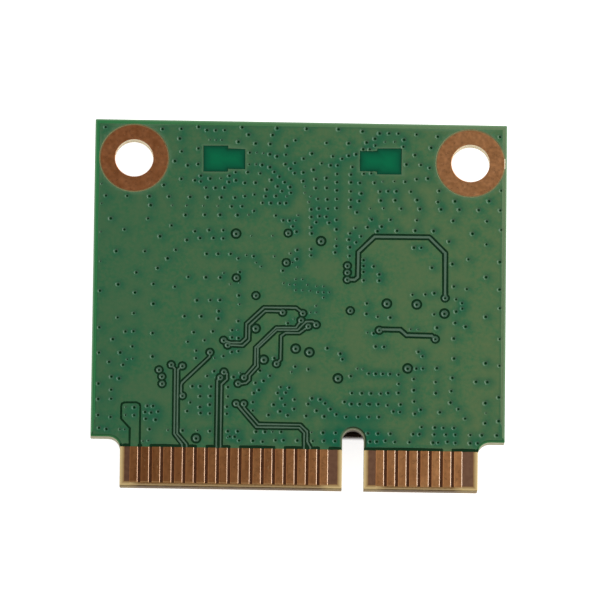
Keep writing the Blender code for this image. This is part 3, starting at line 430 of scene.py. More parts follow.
HOLES_MIDDLE = [
    (0.7, 17.55), (0.7, 17.09), (-0.3, 17.47), (-0.32, 16.8), (-1.32, 15.93), (-4.52, 16.77),
    (-3.42, 16.95), (2.5, 17.8), (2.43, 17.33), (3.48, 17.73), (3.46, 17.09), (4.47, 16.8),
    (4.47, 16.37), (4.47, 15.93), (4.49, 15.31), (-4.4, 15.77), (-4.45, 14.05), (4.74, 13.62),
    (4.72, 12.85), (-4.47, 12.17), (-4.9, 11.5), (-4.9, 10.97), (-4.43, 10.92), (-4.43, 9.97),
    (-4.9, 9.9), (-0.91, 12.07), (1.94, 10.29), (2.87, 9.9), (3.03, 9.49), (-1.84, 9.49),
]
HOLES_MIDDLE_RIGHT = [
    (8.08, 17.78), (8.6, 17.78), (5.2, 16.35), (12.0, 16.98), (10.85, 16.62), (9.38, 16.32),
    (14.26, 16.83), (13.28, 15.69), (5.61, 15.77), (5.61, 15.31), (10.97, 14.97), (11.9, 14.79),
    (14.26, 14.8), (8.0, 14.31), (8.93, 14.35), (9.57, 14.45), (11.14, 14.02), (11.57, 13.75),
    (11.59, 13.35), (11.15, 13.13), (14.29, 13.42), (5.53, 12.65), (6.43, 12.61), (9.57, 12.9),
    (13.28, 12.78), (11.09, 12.29), (11.84, 12.03), (9.79, 11.92), (5.25, 11.43), (11.0, 11.15),
    (14.3, 11.15), (5.4, 10.47), (6.0, 10.45), (8.47, 10.13), (8.77, 9.81), (11.03, 9.68),
    (13.3, 9.37), (14.3, 9.2),
]
MIDDLE_THIRD = HOLES_MIDDLE_LEFT + HOLES_MIDDLE + HOLES_MIDDLE_RIGHT
print(f"{len(MIDDLE_THIRD)} holes in the middle third")

# %% Drill chart, front third
HOLES_FRONT_LEFT = [
    (-12.68, 8.83), (-13.5, 7.95), (-12.95, 7.83), (-13.5, 6.99), (-13.5, 6.33), (-13.52, 4.99),
    (-13.8, 4.11), (-11.83, 5.73), (-11.83, 5.15), (-10.9, 5.85), (-10.49, 5.85), (-11.05, 5.4),
    (-10.62, 5.37), (-10.12, 5.45), (-10.99, 4.91), (-10.29, 4.85), (-10.72, 4.15), (-8.35, 4.1),
    (-6.4, 4.08), (-5.11, 4.1), (-7.7, 7.35), (-7.13, 7.35), (-6.36, 7.35), (-5.14, 7.33),
    (-7.13, 6.62), (-6.4, 6.65), (-5.14, 6.63), (-7.83, 6.15), (-6.43, 6.02), (-7.13, 5.83),
    (-5.2, 5.89), (-8.04, 5.52), (-7.08, 5.4), (-6.42, 5.37), (-5.2, 5.37), (-6.64, 8.11),
    (-6.15, 8.47),
]
HOLES_FRONT_MIDDLE = [
    (-0.35, 8.9), (0.6, 8.72), (-2.87, 8.57), (-4.75, 8.07), (-2.15, 8.2), (-2.6, 7.82),
    (-3.18, 7.67), (-2.93, 7.15), (-3.29, 6.92), (-3.35, 6.25), (-3.35, 5.63), (-1.37, 7.38),
    (-0.76, 7.35), (-1.58, 6.95), (-1.0, 6.98), (-1.29, 6.55), (-0.37, 6.49), (-1.86, 6.09),
    (-1.05, 6.09), (-1.4, 5.61), (-0.39, 5.8), (-2.22, 5.33), (-0.84, 5.33), (0.88, 6.6),
    (1.47, 6.53), (0.61, 6.18), (1.82, 6.25), (2.21, 5.83), (1.22, 5.7), (2.64, 5.45),
    (0.48, 5.31), (1.77, 5.29), (3.64, 8.27), (4.93, 8.48), (3.73, 7.03), (4.45, 7.03),
    (3.21, 6.38), (3.71, 6.23), (4.3, 6.23), (4.92, 6.25), (3.35, 5.28), (4.2, 5.29), (4.97, 5.3),
    (-4.41, 4.1), (-3.09, 4.1), (-2.45, 4.1), (-1.29, 4.1), (1.7, 4.1), (2.6, 4.1), (4.91, 4.1),
    (-4.62, 3.7), (-4.97, 3.7), (-4.3, 3.43), (-3.31, 3.43), (-2.62, 3.37), (-1.69, 3.49),
    (-1.12, 3.5), (-0.13, 3.5), (0.97, 3.47), (1.77, 3.5), (2.56, 3.5),
]
HOLES_FRONT_RIGHT = [
    (8.33, 8.9), (8.8, 8.91), (9.8, 8.95), (5.43, 8.47), (5.93, 8.47), (6.45, 8.47), (7.06, 8.43),
    (8.16, 8.12), (10.92, 8.25), (9.73, 7.93), (12.62, 8.0), (13.43, 7.99), (7.08, 7.75),
    (8.17, 7.31), (10.85, 7.29), (9.75, 7.12), (5.11, 7.03), (5.8, 7.02), (6.33, 7.07),
    (7.07, 7.1), (14.26, 6.89), (8.2, 6.49), (10.8, 6.45), (13.3, 6.45), (5.03, 6.23),
    (5.63, 6.25), (6.3, 6.18), (7.23, 6.25), (11.37, 5.98), (8.67, 5.89), (10.05, 5.73),
    (6.72, 5.73), (7.19, 5.69), (8.26, 5.59), (5.69, 5.31), (11.86, 5.29), (14.26, 5.15),
    (13.3, 4.98), (8.75, 4.62), (9.7, 4.61), (10.31, 4.58), (11.07, 4.6), (5.63, 4.1),
    (6.52, 4.1), (8.15, 4.1), (8.6, 4.1), (9.66, 4.1), (10.5, 4.1), (11.17, 4.1), (12.24, 4.1),
    (13.07, 4.1), (14.14, 4.1), (5.07, 3.5), (5.55, 3.5), (6.17, 3.58), (6.85, 3.5), (7.89, 3.5),
    (9.57, 3.5), (9.94, 3.5), (10.61, 3.58), (11.18, 3.5), (12.24, 3.5), (12.78, 3.5),
]
FRONT_THIRD = HOLES_FRONT_LEFT + HOLES_FRONT_MIDDLE + HOLES_FRONT_RIGHT
print(f"{len(FRONT_THIRD)} holes in the front third")

# %% Drill chart, faint holes
FAINT_HOLES = [
    (-6.68, 25.48), (-6.25, 25.47), (-5.82, 25.48), (-5.85, 22.65), (-9.32, 20.6), (-8.28, 20.6),
    (-7.08, 20.6), (-6.03, 20.6), (-3.3, 24.59), (-2.83, 24.55), (-3.83, 23.72), (-3.33, 23.73),
    (0.21, 22.15), (0.62, 21.41), (-1.1, 21.39), (0.5, 21.0), (-0.27, 20.02), (-0.43, 19.63),
    (4.91, 19.87), (-3.6, 18.43), (-2.08, 18.47), (0.19, 21.67), (4.91, 20.6), (-3.82, 19.98),
    (2.5, 18.3), (5.93, 25.53), (6.62, 25.55), (5.8, 22.6), (6.63, 22.63), (5.87, 20.63),
    (-5.55, 15.68), (-5.07, 14.87), (-12.39, 9.23), (-12.0, 9.27), (-6.13, 9.43),
    (-0.78, 17.2), (-0.63, 16.53), (-0.27, 16.2), (-3.93, 17.01), (-3.23, 16.48), (-2.87, 16.2),
    (-1.93, 16.97), (-4.4, 14.97), (-4.4, 13.4), (-0.38, 15.3), (0.11, 15.31), (-1.25, 15.0),
    (-0.82, 14.9), (-0.42, 14.9), (0.47, 14.9), (1.11, 14.81), (1.63, 14.8), (-0.38, 14.5),
    (0.12, 14.5), (0.67, 14.47), (1.22, 14.38), (1.63, 14.37), (2.03, 14.38), (1.63, 14.0),
    (1.1, 13.37), (0.7, 12.88), (1.1, 12.88), (-4.5, 11.5), (-0.47, 12.38), (4.79, 11.47),
    (7.9, 11.77), (8.42, 11.77), (-12.83, 4.11), (-12.5, 4.1), (-12.45, 5.73), (-12.45, 5.15),
    (-7.3, 4.1), (-9.4, 4.1), (-11.17, 3.27), (-10.8, 3.3), (-5.11, 3.63), (-0.6, 8.5),
    (-4.28, 8.37), (4.1, 8.81), (4.5, 8.8), (-1.91, 4.1), (0.87, 4.1), (13.35, 5.7),
    (-14.42, 22.1), (-14.42, 20.65), (-14.42, 18.55), (-14.42, 16.4),
]
FULL_HOLES = BACK_THIRD + MIDDLE_THIRD + FRONT_THIRD
print(f"{len(FULL_HOLES)} full dimples and {len(FAINT_HOLES)} faint ones")

# %% [markdown]
# ## Traces and ring pads
# Most of this face is one sheet of copper at ground. A signal that crosses it
# needs a clear moat on both sides, which shows as a dark line through the
# mask. A track is given here as its corner points, its half width and the
# width of its moat. A pad is a track of one point.

# %% Tracks of the solder side
TRACE_FRONT_V = 2.7                 # where a trace has run in under its contact
WIDE_HALF, WIDE_MOAT = 0.07, 0.145
FINE_HALF, FINE_MOAT = 0.045, 0.13
PAD_HALF, PAD_MOAT = 0.19, 0.145
RING_HALF, RING_MOAT = 0.225, 0.15

WIDE_TRACKS = [
    [(3.31, 15.33), (3.85, 15.33), (4.08, 15.55), (4.08, 17.35), (5.25, 18.53), (9.17, 18.53),
     (10.33, 17.4), (10.35, 14.09)],
    [(5.65, 11.65), (5.85, 11.71), (7.17, 11.71), (7.6, 11.31), (9.4, 11.31), (9.67, 11.07)],
]
FINE_TRACKS = [
    [(-9.23, 8.88), (-8.95, 8.57), (-8.95, 3.83), (-8.4, 3.1), (-8.33, 2.7)],
    [(-8.43, 8.8), (-8.74, 8.53), (-8.74, 3.87), (-8.07, 3.1), (-8.0, 2.7)],
    [(-6.47, 9.83), (-6.5, 9.5), (-8.45, 7.57), (-8.5, 7.4), (-8.5, 6.9), (-8.4, 6.62)],
    [(0.15, 12.8), (-0.33, 13.19), (-2.63, 13.19), (-3.9, 11.98), (-3.9, 10.93), (-4.27, 10.57),
     (-5.0, 10.57), (-5.5, 10.73)],
    [(-1.3, 12.85), (-1.55, 12.93), (-2.55, 12.93), (-3.67, 11.83), (-3.67, 10.8), (-4.1, 10.36),
     (-5.21, 10.38)],
    [(0.03, 12.29), (-0.33, 11.73), (-1.73, 11.73), (-3.23, 10.23), (-3.23, 8.95), (-4.01, 8.03)],
    [(1.12, 11.98), (0.87, 12.2), (0.4, 12.2), (-0.23, 11.55), (-1.7, 11.55), (-3.05, 10.2),
     (-3.03, 8.83), (-3.61, 8.15), (-3.61, 7.87), (-3.83, 7.63), (-4.13, 7.57), (-4.43, 7.58)],
    [(0.55, 11.85), (-0.07, 11.35), (-1.07, 11.35), (-1.4, 11.1), (-1.4, 9.4), (-1.69, 9.07)],
    [(-5.45, 8.41), (-5.23, 8.27), (-5.23, 7.87), (-5.62, 7.5), (-5.62, 2.7)],
    [(-5.71, 8.0), (-5.92, 7.77), (-5.92, 2.7)],
    [(-4.55, 6.11), (-3.07, 4.41), (0.0, 4.41), (0.35, 4.03), (0.35, 2.7)],
    [(-4.0, 6.11), (-3.97, 5.8), (-2.93, 4.63), (0.07, 4.63), (0.57, 4.13), (0.57, 3.4),
     (0.8, 3.0), (0.8, 2.7)],
]
TRACK_END_PADS = [
    (3.31, 15.33), (10.35, 14.09), (5.65, 11.65), (9.67, 11.07), (-9.23, 8.88), (-8.43, 8.8),
    (-6.47, 9.83), (-8.4, 6.62), (0.15, 12.8), (-5.5, 10.73), (-1.3, 12.85), (-5.21, 10.38),
    (0.03, 12.29), (-4.01, 8.03), (1.12, 11.98), (-4.43, 7.58), (0.55, 11.85), (-1.69, 9.07),
    (-5.45, 8.41), (-5.71, 8.0), (-4.55, 6.11), (-4.0, 6.11), (3.31, 16.35), (3.31, 15.85),
    (-10.1, 8.49), (-9.89, 8.0), (-9.87, 7.48), (-0.97, 18.68), (-1.08, 16.51), (-4.65, 15.33),
    (-3.23, 14.05), (3.55, 13.05),
]
RING_PADS = [
    (-4.71, 18.58), (1.4, 18.13), (-3.22, 11.63), (-0.33, 10.2), (0.65, 9.95), (-2.61, 9.35),
    (6.17, 13.61), (8.32, 13.59), (10.31, 12.95), (2.72, 8.07), (7.71, 8.88), (-7.38, 3.53),
]
SOLDER_TRACKS = (
    [(track, WIDE_HALF, WIDE_HALF + WIDE_MOAT) for track in WIDE_TRACKS]
    + [(track, FINE_HALF, FINE_HALF + FINE_MOAT) for track in FINE_TRACKS]
    + [([pad], PAD_HALF, PAD_HALF + PAD_MOAT) for pad in TRACK_END_PADS]
    + [([pad], RING_HALF, RING_HALF + RING_MOAT) for pad in RING_PADS]
)
print(f"{len(WIDE_TRACKS) + len(FINE_TRACKS)} traces, {len(TRACK_END_PADS) + len(RING_PADS)} pads")

# %% [markdown]
# ## Cuts in the copper sheet
# The sheet of copper also has moats with nothing in them: the line round the
# island behind the first contact, and the line that parts the sheet from the
# contacts. A ground contact runs through that line and joins the sheet. Two
# stepped windows lie under the antenna receptacles of the other face.

# %% Moats
CONTACT_PITCH = 0.8
CONTACT_HALF = 0.3
CONTACT_FRONT_V = 0.25
LEFT_CONTACTS = [-11.8 + CONTACT_PITCH * k for k in range(18)]
RIGHT_CONTACTS = [5.8 + CONTACT_PITCH * k for k in range(8)]
CONTACT_ROWS = (LEFT_CONTACTS, RIGHT_CONTACTS)
CONTACTS = LEFT_CONTACTS + RIGHT_CONTACTS
MASK_EDGE_V = 2.84
MOAT_V = 2.945
MOAT_HALF = 0.115
LINE_HALF = 0.06
NECK_HALF = 0.31
MOAT_INSET = 0.15
ISLAND_NECK = -11.77
GROUND_CONTACTS = [LEFT_CONTACTS[k] for k in (1, 6, 9, 13, 17)] + [RIGHT_CONTACTS[6]]
ISLAND_LINE = [
    (-12.13, 2.9), (-12.13, 4.2), (-12.75, 4.85), (-12.77, 5.8), (-12.7, 5.99), (-12.5, 6.07),
    (-11.67, 6.07), (-11.46, 5.99), (-11.4, 5.8), (-11.4, 2.9),
]


def moat_pieces(start, end, necks):
    """The stretches of the moat between start and end that no neck crosses."""
    pieces = []
    for neck in sorted(n for n in necks if start < n < end):
        pieces.append((start, neck - NECK_HALF))
        start = neck + NECK_HALF
    return pieces + [(start, end)]


NOTCH_LEFT = NOTCH_U - NOTCH_WIDTH / 2
NOTCH_RIGHT = NOTCH_U + NOTCH_WIDTH / 2


def contact_moats(*necks):
    """The moat behind both rows of contacts, which the ground contacts and `necks` cross."""
    pieces = []
    for start, end in (
        (MOAT_INSET - TAB_WIDTH / 2, NOTCH_LEFT - MOAT_INSET),
        (NOTCH_RIGHT + MOAT_INSET, TAB_WIDTH / 2 - MOAT_INSET),
    ):
        pieces += moat_pieces(start, end, GROUND_CONTACTS + list(necks))
    return [([(low + MOAT_HALF, MOAT_V), (high - MOAT_HALF, MOAT_V)], MOAT_HALF) for low, high in pieces]


SOLDER_MOATS = [(ISLAND_LINE, LINE_HALF)] + contact_moats(ISLAND_NECK)
print(f"{len(SOLDER_MOATS)} moats")

# %% Windows
WINDOW_V = SCREW_V + 0.04
WINDOW_OUTER_U, WINDOW_STEP_U, WINDOW_INNER_U = SCREW_U - 4.98, SCREW_U - 6.73, SCREW_U - 7.97
WINDOW_WIDE, WINDOW_NARROW = 0.95, 0.745


def window_blocks(side):
    """The window as a short wide block and a long narrow one, each by middle and half sizes."""
    return [
        (side * (WINDOW_OUTER_U + inner) / 2, WINDOW_V, (WINDOW_OUTER_U - inner) / 2, half)
        for inner, half in ((WINDOW_STEP_U, WINDOW_WIDE), (WINDOW_INNER_U, WINDOW_NARROW))
    ]


def window_outline(side, grow):
    """The window's stepped outline, moved outwards by `grow`."""
    outer, step, inner = WINDOW_OUTER_U + grow, WINDOW_STEP_U - grow, WINDOW_INNER_U - grow
    wide, narrow = WINDOW_WIDE + grow, WINDOW_NARROW + grow
    half = [(outer, wide), (step, wide), (step, narrow), (inner, narrow)]
    corners = half + [(u, -v) for u, v in reversed(half)]
    return [Vector((side * u, WINDOW_V + v)) for u, v in corners]


WINDOW_SIDES = (-1, 1)
print(f"{len(WINDOW_SIDES)} windows of {2 * WINDOW_WIDE:.2f} mm")

# %% [markdown]
# ## How high the surface stands
# Copper is about 0.03 mm thick and the mask about 0.015 mm. So the mask lies
# low over bare laminate and high over copper, with a soft shoulder between.
# These are the heights and the reaches that the relief is made with.

# %% Heights and reaches
MASK_LOW = 0.015
MASK_HIGH = 0.045
SHOULDER = 0.025
EDGE_BEVEL = 0.03
FRONT_BEVEL = 0.06
EDGE_MARGIN = 0.31
FRONT_MARGIN = 0.17
NOTCH_MARGIN = 0.16
FRONT_ZONE_V = 4.9
NOTCH_ZONE = 2.2
DIMPLE_RADII = np.array([0.0, 0.05, 0.08, 0.11, 0.15, 0.19, 0.23])
DIMPLE_DEPTHS = np.array([0.105, 0.105, 0.088, 0.058, 0.030, 0.010, 0.0])
PIT_INNER, PIT_OUTER = 0.05, 0.095
HOLE_STAIN, NOTCH_STAIN = 1.1, 1.5
STAIN_REACH = 0.66
STAIN_DRIFT = Vector((0.17, -0.06))
MOST_STAIN = 1.35
NOTCH_STAIN_REACH = 1.8
SHORE_REACH = 0.33
BRINK_REACH = 0.18
LAND_BRINK_REACH = 0.14
WINDOW_REACH = 0.65
print(f"relief from {MASK_LOW} to {MASK_HIGH} mm over the laminate")

# %% [markdown]
# ## Distances
# All of the relief follows from distances: a shoulder is a ramp in the
# distance to a line. These three work on thousands of points at once, which
# keeps the script quick.

# %% Distances to lines and blocks
def to_segments(points, starts, ends):
    """Distance from each point to the nearest of some segments."""
    best = np.full(len(points), 1e9)
    for a, b in zip(starts, ends):
        way = b - a
        length = way @ way
        share = np.clip((points - a) @ way / length, 0, 1) if length > 0 else np.zeros(len(points))
        best = np.minimum(best, np.hypot(*(points - a - share[:, None] * way).T))
    return best


def to_track(points, track):
    corners = np.array(track, float)
    if len(corners) == 1:
        corners = np.repeat(corners, 2, axis=0)
    return to_segments(points, corners[:-1], corners[1:])


def to_block(points, block):
    """Signed distance to a rectangle given by its middle and half sizes."""
    reach = np.abs(points - np.array(block[:2])) - np.array(block[2:])
    outside = np.hypot(*np.maximum(reach, 0).T)
    return outside + np.minimum(reach.max(axis=1), 0)


middle_of_board = np.array([[0.0, BOARD_LENGTH / 2]])
print(f"the middle lies {to_track(middle_of_board, SCREW_PLACES)[0]:.2f} mm from the line of the screws")

# %% [markdown]
# ## Dimples
# Over a hole the mask sinks into a funnel, and its middle is painted dark, a
# painted shade of the hole below. The varnish round it is thicker and greener,
# a little more so to one side, and the same green surrounds the notch. A
# dimple's section is a short table of radius and depth, and its size scales
# both. Only points near a hole are looked at.

# %% Dimples
def dimple_values(points, dimples):
    """Depth of the dimples, the painted shade of their pits, and the green stain round them and the notch.
    """
    depth = np.zeros(len(points))
    pit = np.zeros(len(points))
    stain = np.zeros(len(points))
    for u, v, size in dimples:
        near = np.flatnonzero(np.abs(points[:, 0] - u) < 2 * STAIN_REACH)
        near = near[np.abs(points[near, 1] - v) < 2 * STAIN_REACH]
        away = np.hypot(points[near, 0] - u, points[near, 1] - v)
        here = size * np.interp(away / size, DIMPLE_RADII, DIMPLE_DEPTHS)
        depth[near] = np.maximum(depth[near], here)
        here = min(size, 1) * np.interp(away / size, (PIT_INNER, PIT_OUTER), (1, 0))
        pit[near] = np.maximum(pit[near], here)
        away = np.hypot(*(points[near] - (STAIN_DRIFT + Vector((u, v)))).T)
        stain[near] += HOLE_STAIN * size * np.clip(1 - away / STAIN_REACH, 0, 1)
    stain = np.minimum(stain, MOST_STAIN)
    notch = [(NOTCH_U, -1.0), (NOTCH_U, NOTCH_DEPTH - NOTCH_WIDTH / 2)]
    away = to_track(points, notch) - NOTCH_WIDTH / 2
    stain += NOTCH_STAIN * np.clip(1 - away / NOTCH_STAIN_REACH, 0, 1)
    return depth, pit, np.clip(stain, 0, 2)


print(f"a dimple is {DIMPLE_DEPTHS[0]:.3f} mm deep and {2 * DIMPLE_RADII[-1]:.2f} mm across")

# %% [markdown]
# ## The relief of a face
# `Face` joins the distances into one height for each point. It also gives the
# values that the finishes read later: how deep in a pit a point lies, which
# sets the pit's painted shade, how stained it is, and how near to a window, a
# land or the board's edge.

# %% Height of the mask
class Face:
    """The relief of one face of the board."""

    def __init__(self, tracks, moats, windows, dimples):
        self.tracks = tracks
        self.moats = moats
        self.windows = windows
        self.blocks = [block for side in windows for block in window_blocks(side)]
        self.dimples = np.array(dimples, float)

    def levels(self, points):
        """Distance out of the nearest track, and into the sheet of copper."""
        outline = np.array([p[:] for p in BOARD_OUTLINE])
        edge = to_segments(points, outline, np.roll(outline, -1, axis=0))
        to_notch = np.hypot(points[:, 0] - NOTCH_U, points[:, 1] - NOTCH_DEPTH + 1.0)
        margin = np.where(points[:, 1] < FRONT_ZONE_V, FRONT_MARGIN, EDGE_MARGIN)
        margin = np.where(to_notch < NOTCH_ZONE, NOTCH_MARGIN, margin)
        track = np.full(len(points), 1e9)
        sheet = edge - margin
        for corners, half, clear in self.tracks:
            away = to_track(points, corners)
            track = np.minimum(track, away - half)
            sheet = np.minimum(sheet, away - clear)
        for corners, half in self.moats:
            sheet = np.minimum(sheet, to_track(points, corners) - half)
        for block in self.blocks:
            sheet = np.minimum(sheet, to_block(points, block))
        return edge, track, sheet

    def height(self, points):
        """Height over the bare laminate, and the values that the finishes read."""
        edge, track, sheet = self.levels(points)
        on_track = np.clip(1 - track / SHOULDER, 0, 1)
        on_sheet = np.clip(sheet / SHOULDER, 0, 1)
        copper = np.maximum(on_track, on_sheet)
        height = MASK_LOW + (MASK_HIGH - MASK_LOW) * copper
        window = np.full(len(points), 1e9)
        for block in self.blocks:
            window = np.minimum(window, to_block(points, block))
        brink = np.clip(1 - window / BRINK_REACH, 0, 1)
        for u, v in SCREW_PLACES:
            away = np.hypot(points[:, 0] - u, points[:, 1] - v)
            height = height * np.clip((away - LAND_RADIUS) / SHOULDER, 0, 1)
            brink = np.maximum(brink, np.clip(1 - (away - LAND_RADIUS) / LAND_BRINK_REACH, 0, 1))
        height = height * np.clip((points[:, 1] - MASK_EDGE_V) / SHOULDER, 0, 1)
        depth, pit, stain = dimple_values(points, self.dimples)
        bevel = EDGE_BEVEL * np.clip(1 - edge / EDGE_BEVEL, 0, 1)
        bevel = np.maximum(bevel, FRONT_BEVEL * np.clip(1 - points[:, 1] / FRONT_BEVEL, 0, 1))
        values = {
            "pit": pit, "stain": stain, "brink": brink,
            "shore": np.clip(1 - edge / SHORE_REACH, 0, 1),
            "indoors": np.clip(-window / WINDOW_REACH, 0, 1),
        }
        return height - depth - bevel, values


print("a face knows its", ", ".join(word for word in vars(Face) if not word.startswith("_")))


# %% Relief of the solder side
def spread(sizes, places, low, high):
    """Dimples at the places, each a little larger or smaller than the next."""
    return [(u, v, sizes.uniform(low, high)) for u, v in places]


sizes = random.Random(3)
full = spread(sizes, FULL_HOLES, 0.88, 1.12)
faint = spread(sizes, FAINT_HOLES, 0.55, 0.70)
centres = [(u, v, 0.92) for u, v in TRACK_END_PADS] + [(u, v, 1.08) for u, v in RING_PADS]
solder_face = Face(SOLDER_TRACKS, SOLDER_MOATS, WINDOW_SIDES, full + faint + centres)
print(f"solder side: {len(solder_face.dimples)} dimples")

# %% [markdown]
# ## One mesh that follows every line
# A grid fine enough for these lines would need millions of faces. Instead,
# every outline is handed to a constrained triangulation, which makes faces
# that end exactly on the lines and stay large where nothing happens. Each
# line comes twice, at the top and at the foot of its shoulder.

# %% Lines round tracks and edges
PAD_STEPS = 20
DIMPLE_STEPS = 14
GRID_STEP = 0.28
OVERRUN = 0.1                               # how far a line may run on past the board
BARE_U, BARE_HALF = (14.54, 14.61), 0.37    # bare resin between the right land and the edge


def track_outline(track, reach):
    """Closed line at a distance round a track, with round ends and outer joins."""
    corners = [Vector(p) for p in track]
    if len(corners) == 1:
        return circle(corners[0], reach, PAD_STEPS)
    way = corners + corners[-2:0:-1]
    outline = []
    for index, here in enumerate(way):
        before = (here - way[index - 1]).normalized()
        after = (way[(index + 1) % len(way)] - here).normalized()
        turn = math.atan2(before.x * after.y - before.y * after.x, before.dot(after))
        left = Vector((-before.y, before.x)) * reach
        if 0 < turn < math.radians(170):
            outline.append(here + Matrix.Rotation(turn / 2, 2) @ left / math.cos(turn / 2))
            continue
        sweep = turn if turn <= 0 else -math.pi
        steps = max(1, math.ceil(abs(sweep) / (2 * ARC_STEP)))
        outline += [
            here + Matrix.Rotation(sweep * step / steps, 2) @ left for step in range(steps + 1)
        ]
    return outline


def inset(outline, depth):
    """The outline moved inwards; its own points run anticlockwise."""
    moved = []
    for index, here in enumerate(outline):
        before = (here - outline[index - 1]).normalized()
        after = (outline[(index + 1) % len(outline)] - here).normalized()
        side = (Vector((-before.y, before.x)) + Vector((-after.y, after.x))).normalized()
        moved.append(here + side * depth / max(0.5, side.dot(Vector((-before.y, before.x)))))
    return moved


print(f"a trace's outline has {len(track_outline(WIDE_TRACKS[0], WIDE_HALF))} points")


# %% Every line of a face
ACROSS_TAB = TAB_WIDTH / 2 + 1              # a little past the tab on either side


def block_outline(left, right, front, back):
    return [Vector(corner) for corner in ((left, front), (right, front), (right, back), (left, back))]


def straight(left, right, v):
    """A line that runs along the contacts."""
    return [Vector((left, v)), Vector((right, v))]


def face_lines(face):
    """Every closed line that the faces have to follow."""
    lines = [BOARD_OUTLINE] + HOLES
    lines.append(inset(BOARD_OUTLINE, EDGE_BEVEL))
    lines.append(inset(BOARD_OUTLINE, SHORE_REACH))
    for margin in (NOTCH_MARGIN, FRONT_MARGIN, EDGE_MARGIN):
        lines += [inset(BOARD_OUTLINE, margin), inset(BOARD_OUTLINE, margin + SHOULDER)]
    for place in SCREW_PLACES:
        lines += [circle(place, LAND_RADIUS + grow, HOLE_STEPS) for grow in (0, SHOULDER)]
    for corners, half, clear in face.tracks:
        for reach in (half, half + SHOULDER, clear, clear + SHOULDER):
            lines.append(track_outline(corners, reach))
    for corners, half in face.moats:
        lines += [track_outline(corners, reach) for reach in (half, half + SHOULDER)]
    for side in face.windows:
        lines += [window_outline(side, grow) for grow in (0, SHOULDER)]
    for u, v, size in face.dimples:
        lines += [circle((u, v), radius * size, DIMPLE_STEPS) for radius in DIMPLE_RADII[1:]]
    for row in CONTACT_ROWS:
        low, high = row[0] - CONTACT_HALF, row[-1] + CONTACT_HALF
        lines.append(block_outline(low, high, -OVERRUN, MASK_EDGE_V))
        lines.append(straight(low, high, CONTACT_FRONT_V))
    lines.append(straight(-ACROSS_TAB, ACROSS_TAB, FRONT_BEVEL))
    lines.append(block_outline(*BARE_U, SCREW_V - BARE_HALF, SCREW_V + BARE_HALF))
    for v in (MASK_EDGE_V, MASK_EDGE_V + SHOULDER):
        lines += [straight(-ACROSS_TAB, NOTCH_U, v), straight(NOTCH_U, ACROSS_TAB, v)]
    return lines


print(f"{len(face_lines(solder_face))} lines on the solder side")


# %% Triangles between the lines
def inside(points, outline):
    """Which points lie inside a closed outline."""
    corners = np.array([p[:] for p in outline])
    crossings = np.zeros(len(points), bool)
    for a, b in zip(corners, np.roll(corners, -1, axis=0)):
        spans = (a[1] > points[:, 1]) != (b[1] > points[:, 1])
        if a[1] != b[1]:
            reach = a[0] + (points[:, 1] - a[1]) / (b[1] - a[1]) * (b[0] - a[0])
            crossings ^= spans & (points[:, 0] < reach)
    return crossings


def triangulate(face):
    """Points and triangles of one face of the board, in drawing millimetres."""
    corners = []
    edges = []
    for line in face_lines(face):
        first = len(corners)
        corners += line
        count = len(line)
        closing = count if count > 2 else 1
        edges += [(first + k, first + (k + 1) % count) for k in range(closing)]
    for u in np.arange(LEFT_U + GRID_STEP, RIGHT_U, GRID_STEP):
        corners += [Vector((u, v)) for v in np.arange(GRID_STEP, BOARD_LENGTH, GRID_STEP)]
    flat, _, triangles, _, _, _ = delaunay_2d_cdt(corners, edges, [], 0, 1e-5)
    points = np.array([p[:] for p in flat])
    triangles = np.array(triangles)
    middles = points[triangles].mean(axis=1)
    kept = inside(middles, BOARD_OUTLINE)
    for hole in HOLES:
        kept &= ~inside(middles, hole)
    triangles = triangles[kept]
    used, triangles = np.unique(triangles, return_inverse=True)
    return points[used], triangles.reshape(-1, 3)


solder_points, solder_triangles = triangulate(solder_face)
print(f"solder side: {len(solder_points)} points, {len(solder_triangles)} triangles")

# %% [markdown]
# ## The component side
# The other face looks down and stands on the can. It has the same row of
# contacts, and from each signal contact a trace runs in under the can. A row
# of holes along the rim ties the can's soldered frame to ground.

# %% Triangles of the component side
CAN_LOW, CAN_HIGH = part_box("shield_lid")
CAN_FRONT_V = (CAN_LOW.y - board_low.y) / MM
CAN_BACK_V = (CAN_HIGH.y - board_low.y) / MM
CAN_LEFT_U = CAN_LOW.x / MM - DATUM_U
CAN_RIGHT_U = CAN_HIGH.x / MM - DATUM_U
RIM_PITCH = 1.15
RIM_ASIDE = 0.62
UNDER_CAN = 0.6
NOTCH_CLEAR = 1.2
signal_contacts = [u for u in CONTACTS if u not in GROUND_CONTACTS and abs(u - NOTCH_U) > NOTCH_CLEAR]
component_tracks = [
    ([(u, TRACE_FRONT_V), (u, CAN_FRONT_V + UNDER_CAN)], 0.1, 0.24) for u in signal_contacts
]
rim_count = int((CAN_BACK_V - CAN_FRONT_V) / RIM_PITCH)
rim_holes = [
    (u, CAN_FRONT_V + UNDER_CAN + RIM_PITCH * k, 1.0)
    for u in (CAN_LEFT_U - RIM_ASIDE, CAN_RIGHT_U + RIM_ASIDE) for k in range(rim_count)
]
back_count = int((SCREW_U - LAND_RADIUS) * 2 / RIM_PITCH)
back_holes = [
    ((k - (back_count - 1) / 2) * RIM_PITCH, BOARD_LENGTH - RIM_ASIDE, 1.0) for k in range(back_count)
]
component_face = Face(component_tracks, contact_moats(), [], rim_holes + back_holes)
component_points, component_triangles = triangulate(component_face)
print(f"component side: {len(component_points)} points, {len(component_triangles)} triangles")

# %% [markdown]
# ## Finishes of the board
# Solder mask is a thin, clear green varnish. What lies under it sets its
# colour: copper makes it brownish and bare laminate dark, and the narrow moats
# are painted darker still, as painted shade. Towards the lamp the sheet is
# painted lighter, and the rim is painted bright as light coming in from the
# side, with a painted highlight along the very edge. Round each dimple the
# varnish is thicker and greener, which the mesh's own `stain` value says.

# %% Solder mask
TEAL = tone(12, 96, 65)
PIT_SHADE_GREEN = tone(4, 36, 14)
FAR_LEFT, FAR_RIGHT = -15 * MM, 15 * MM
NOTCH_X = (NOTCH_U + DATUM_U) * MM


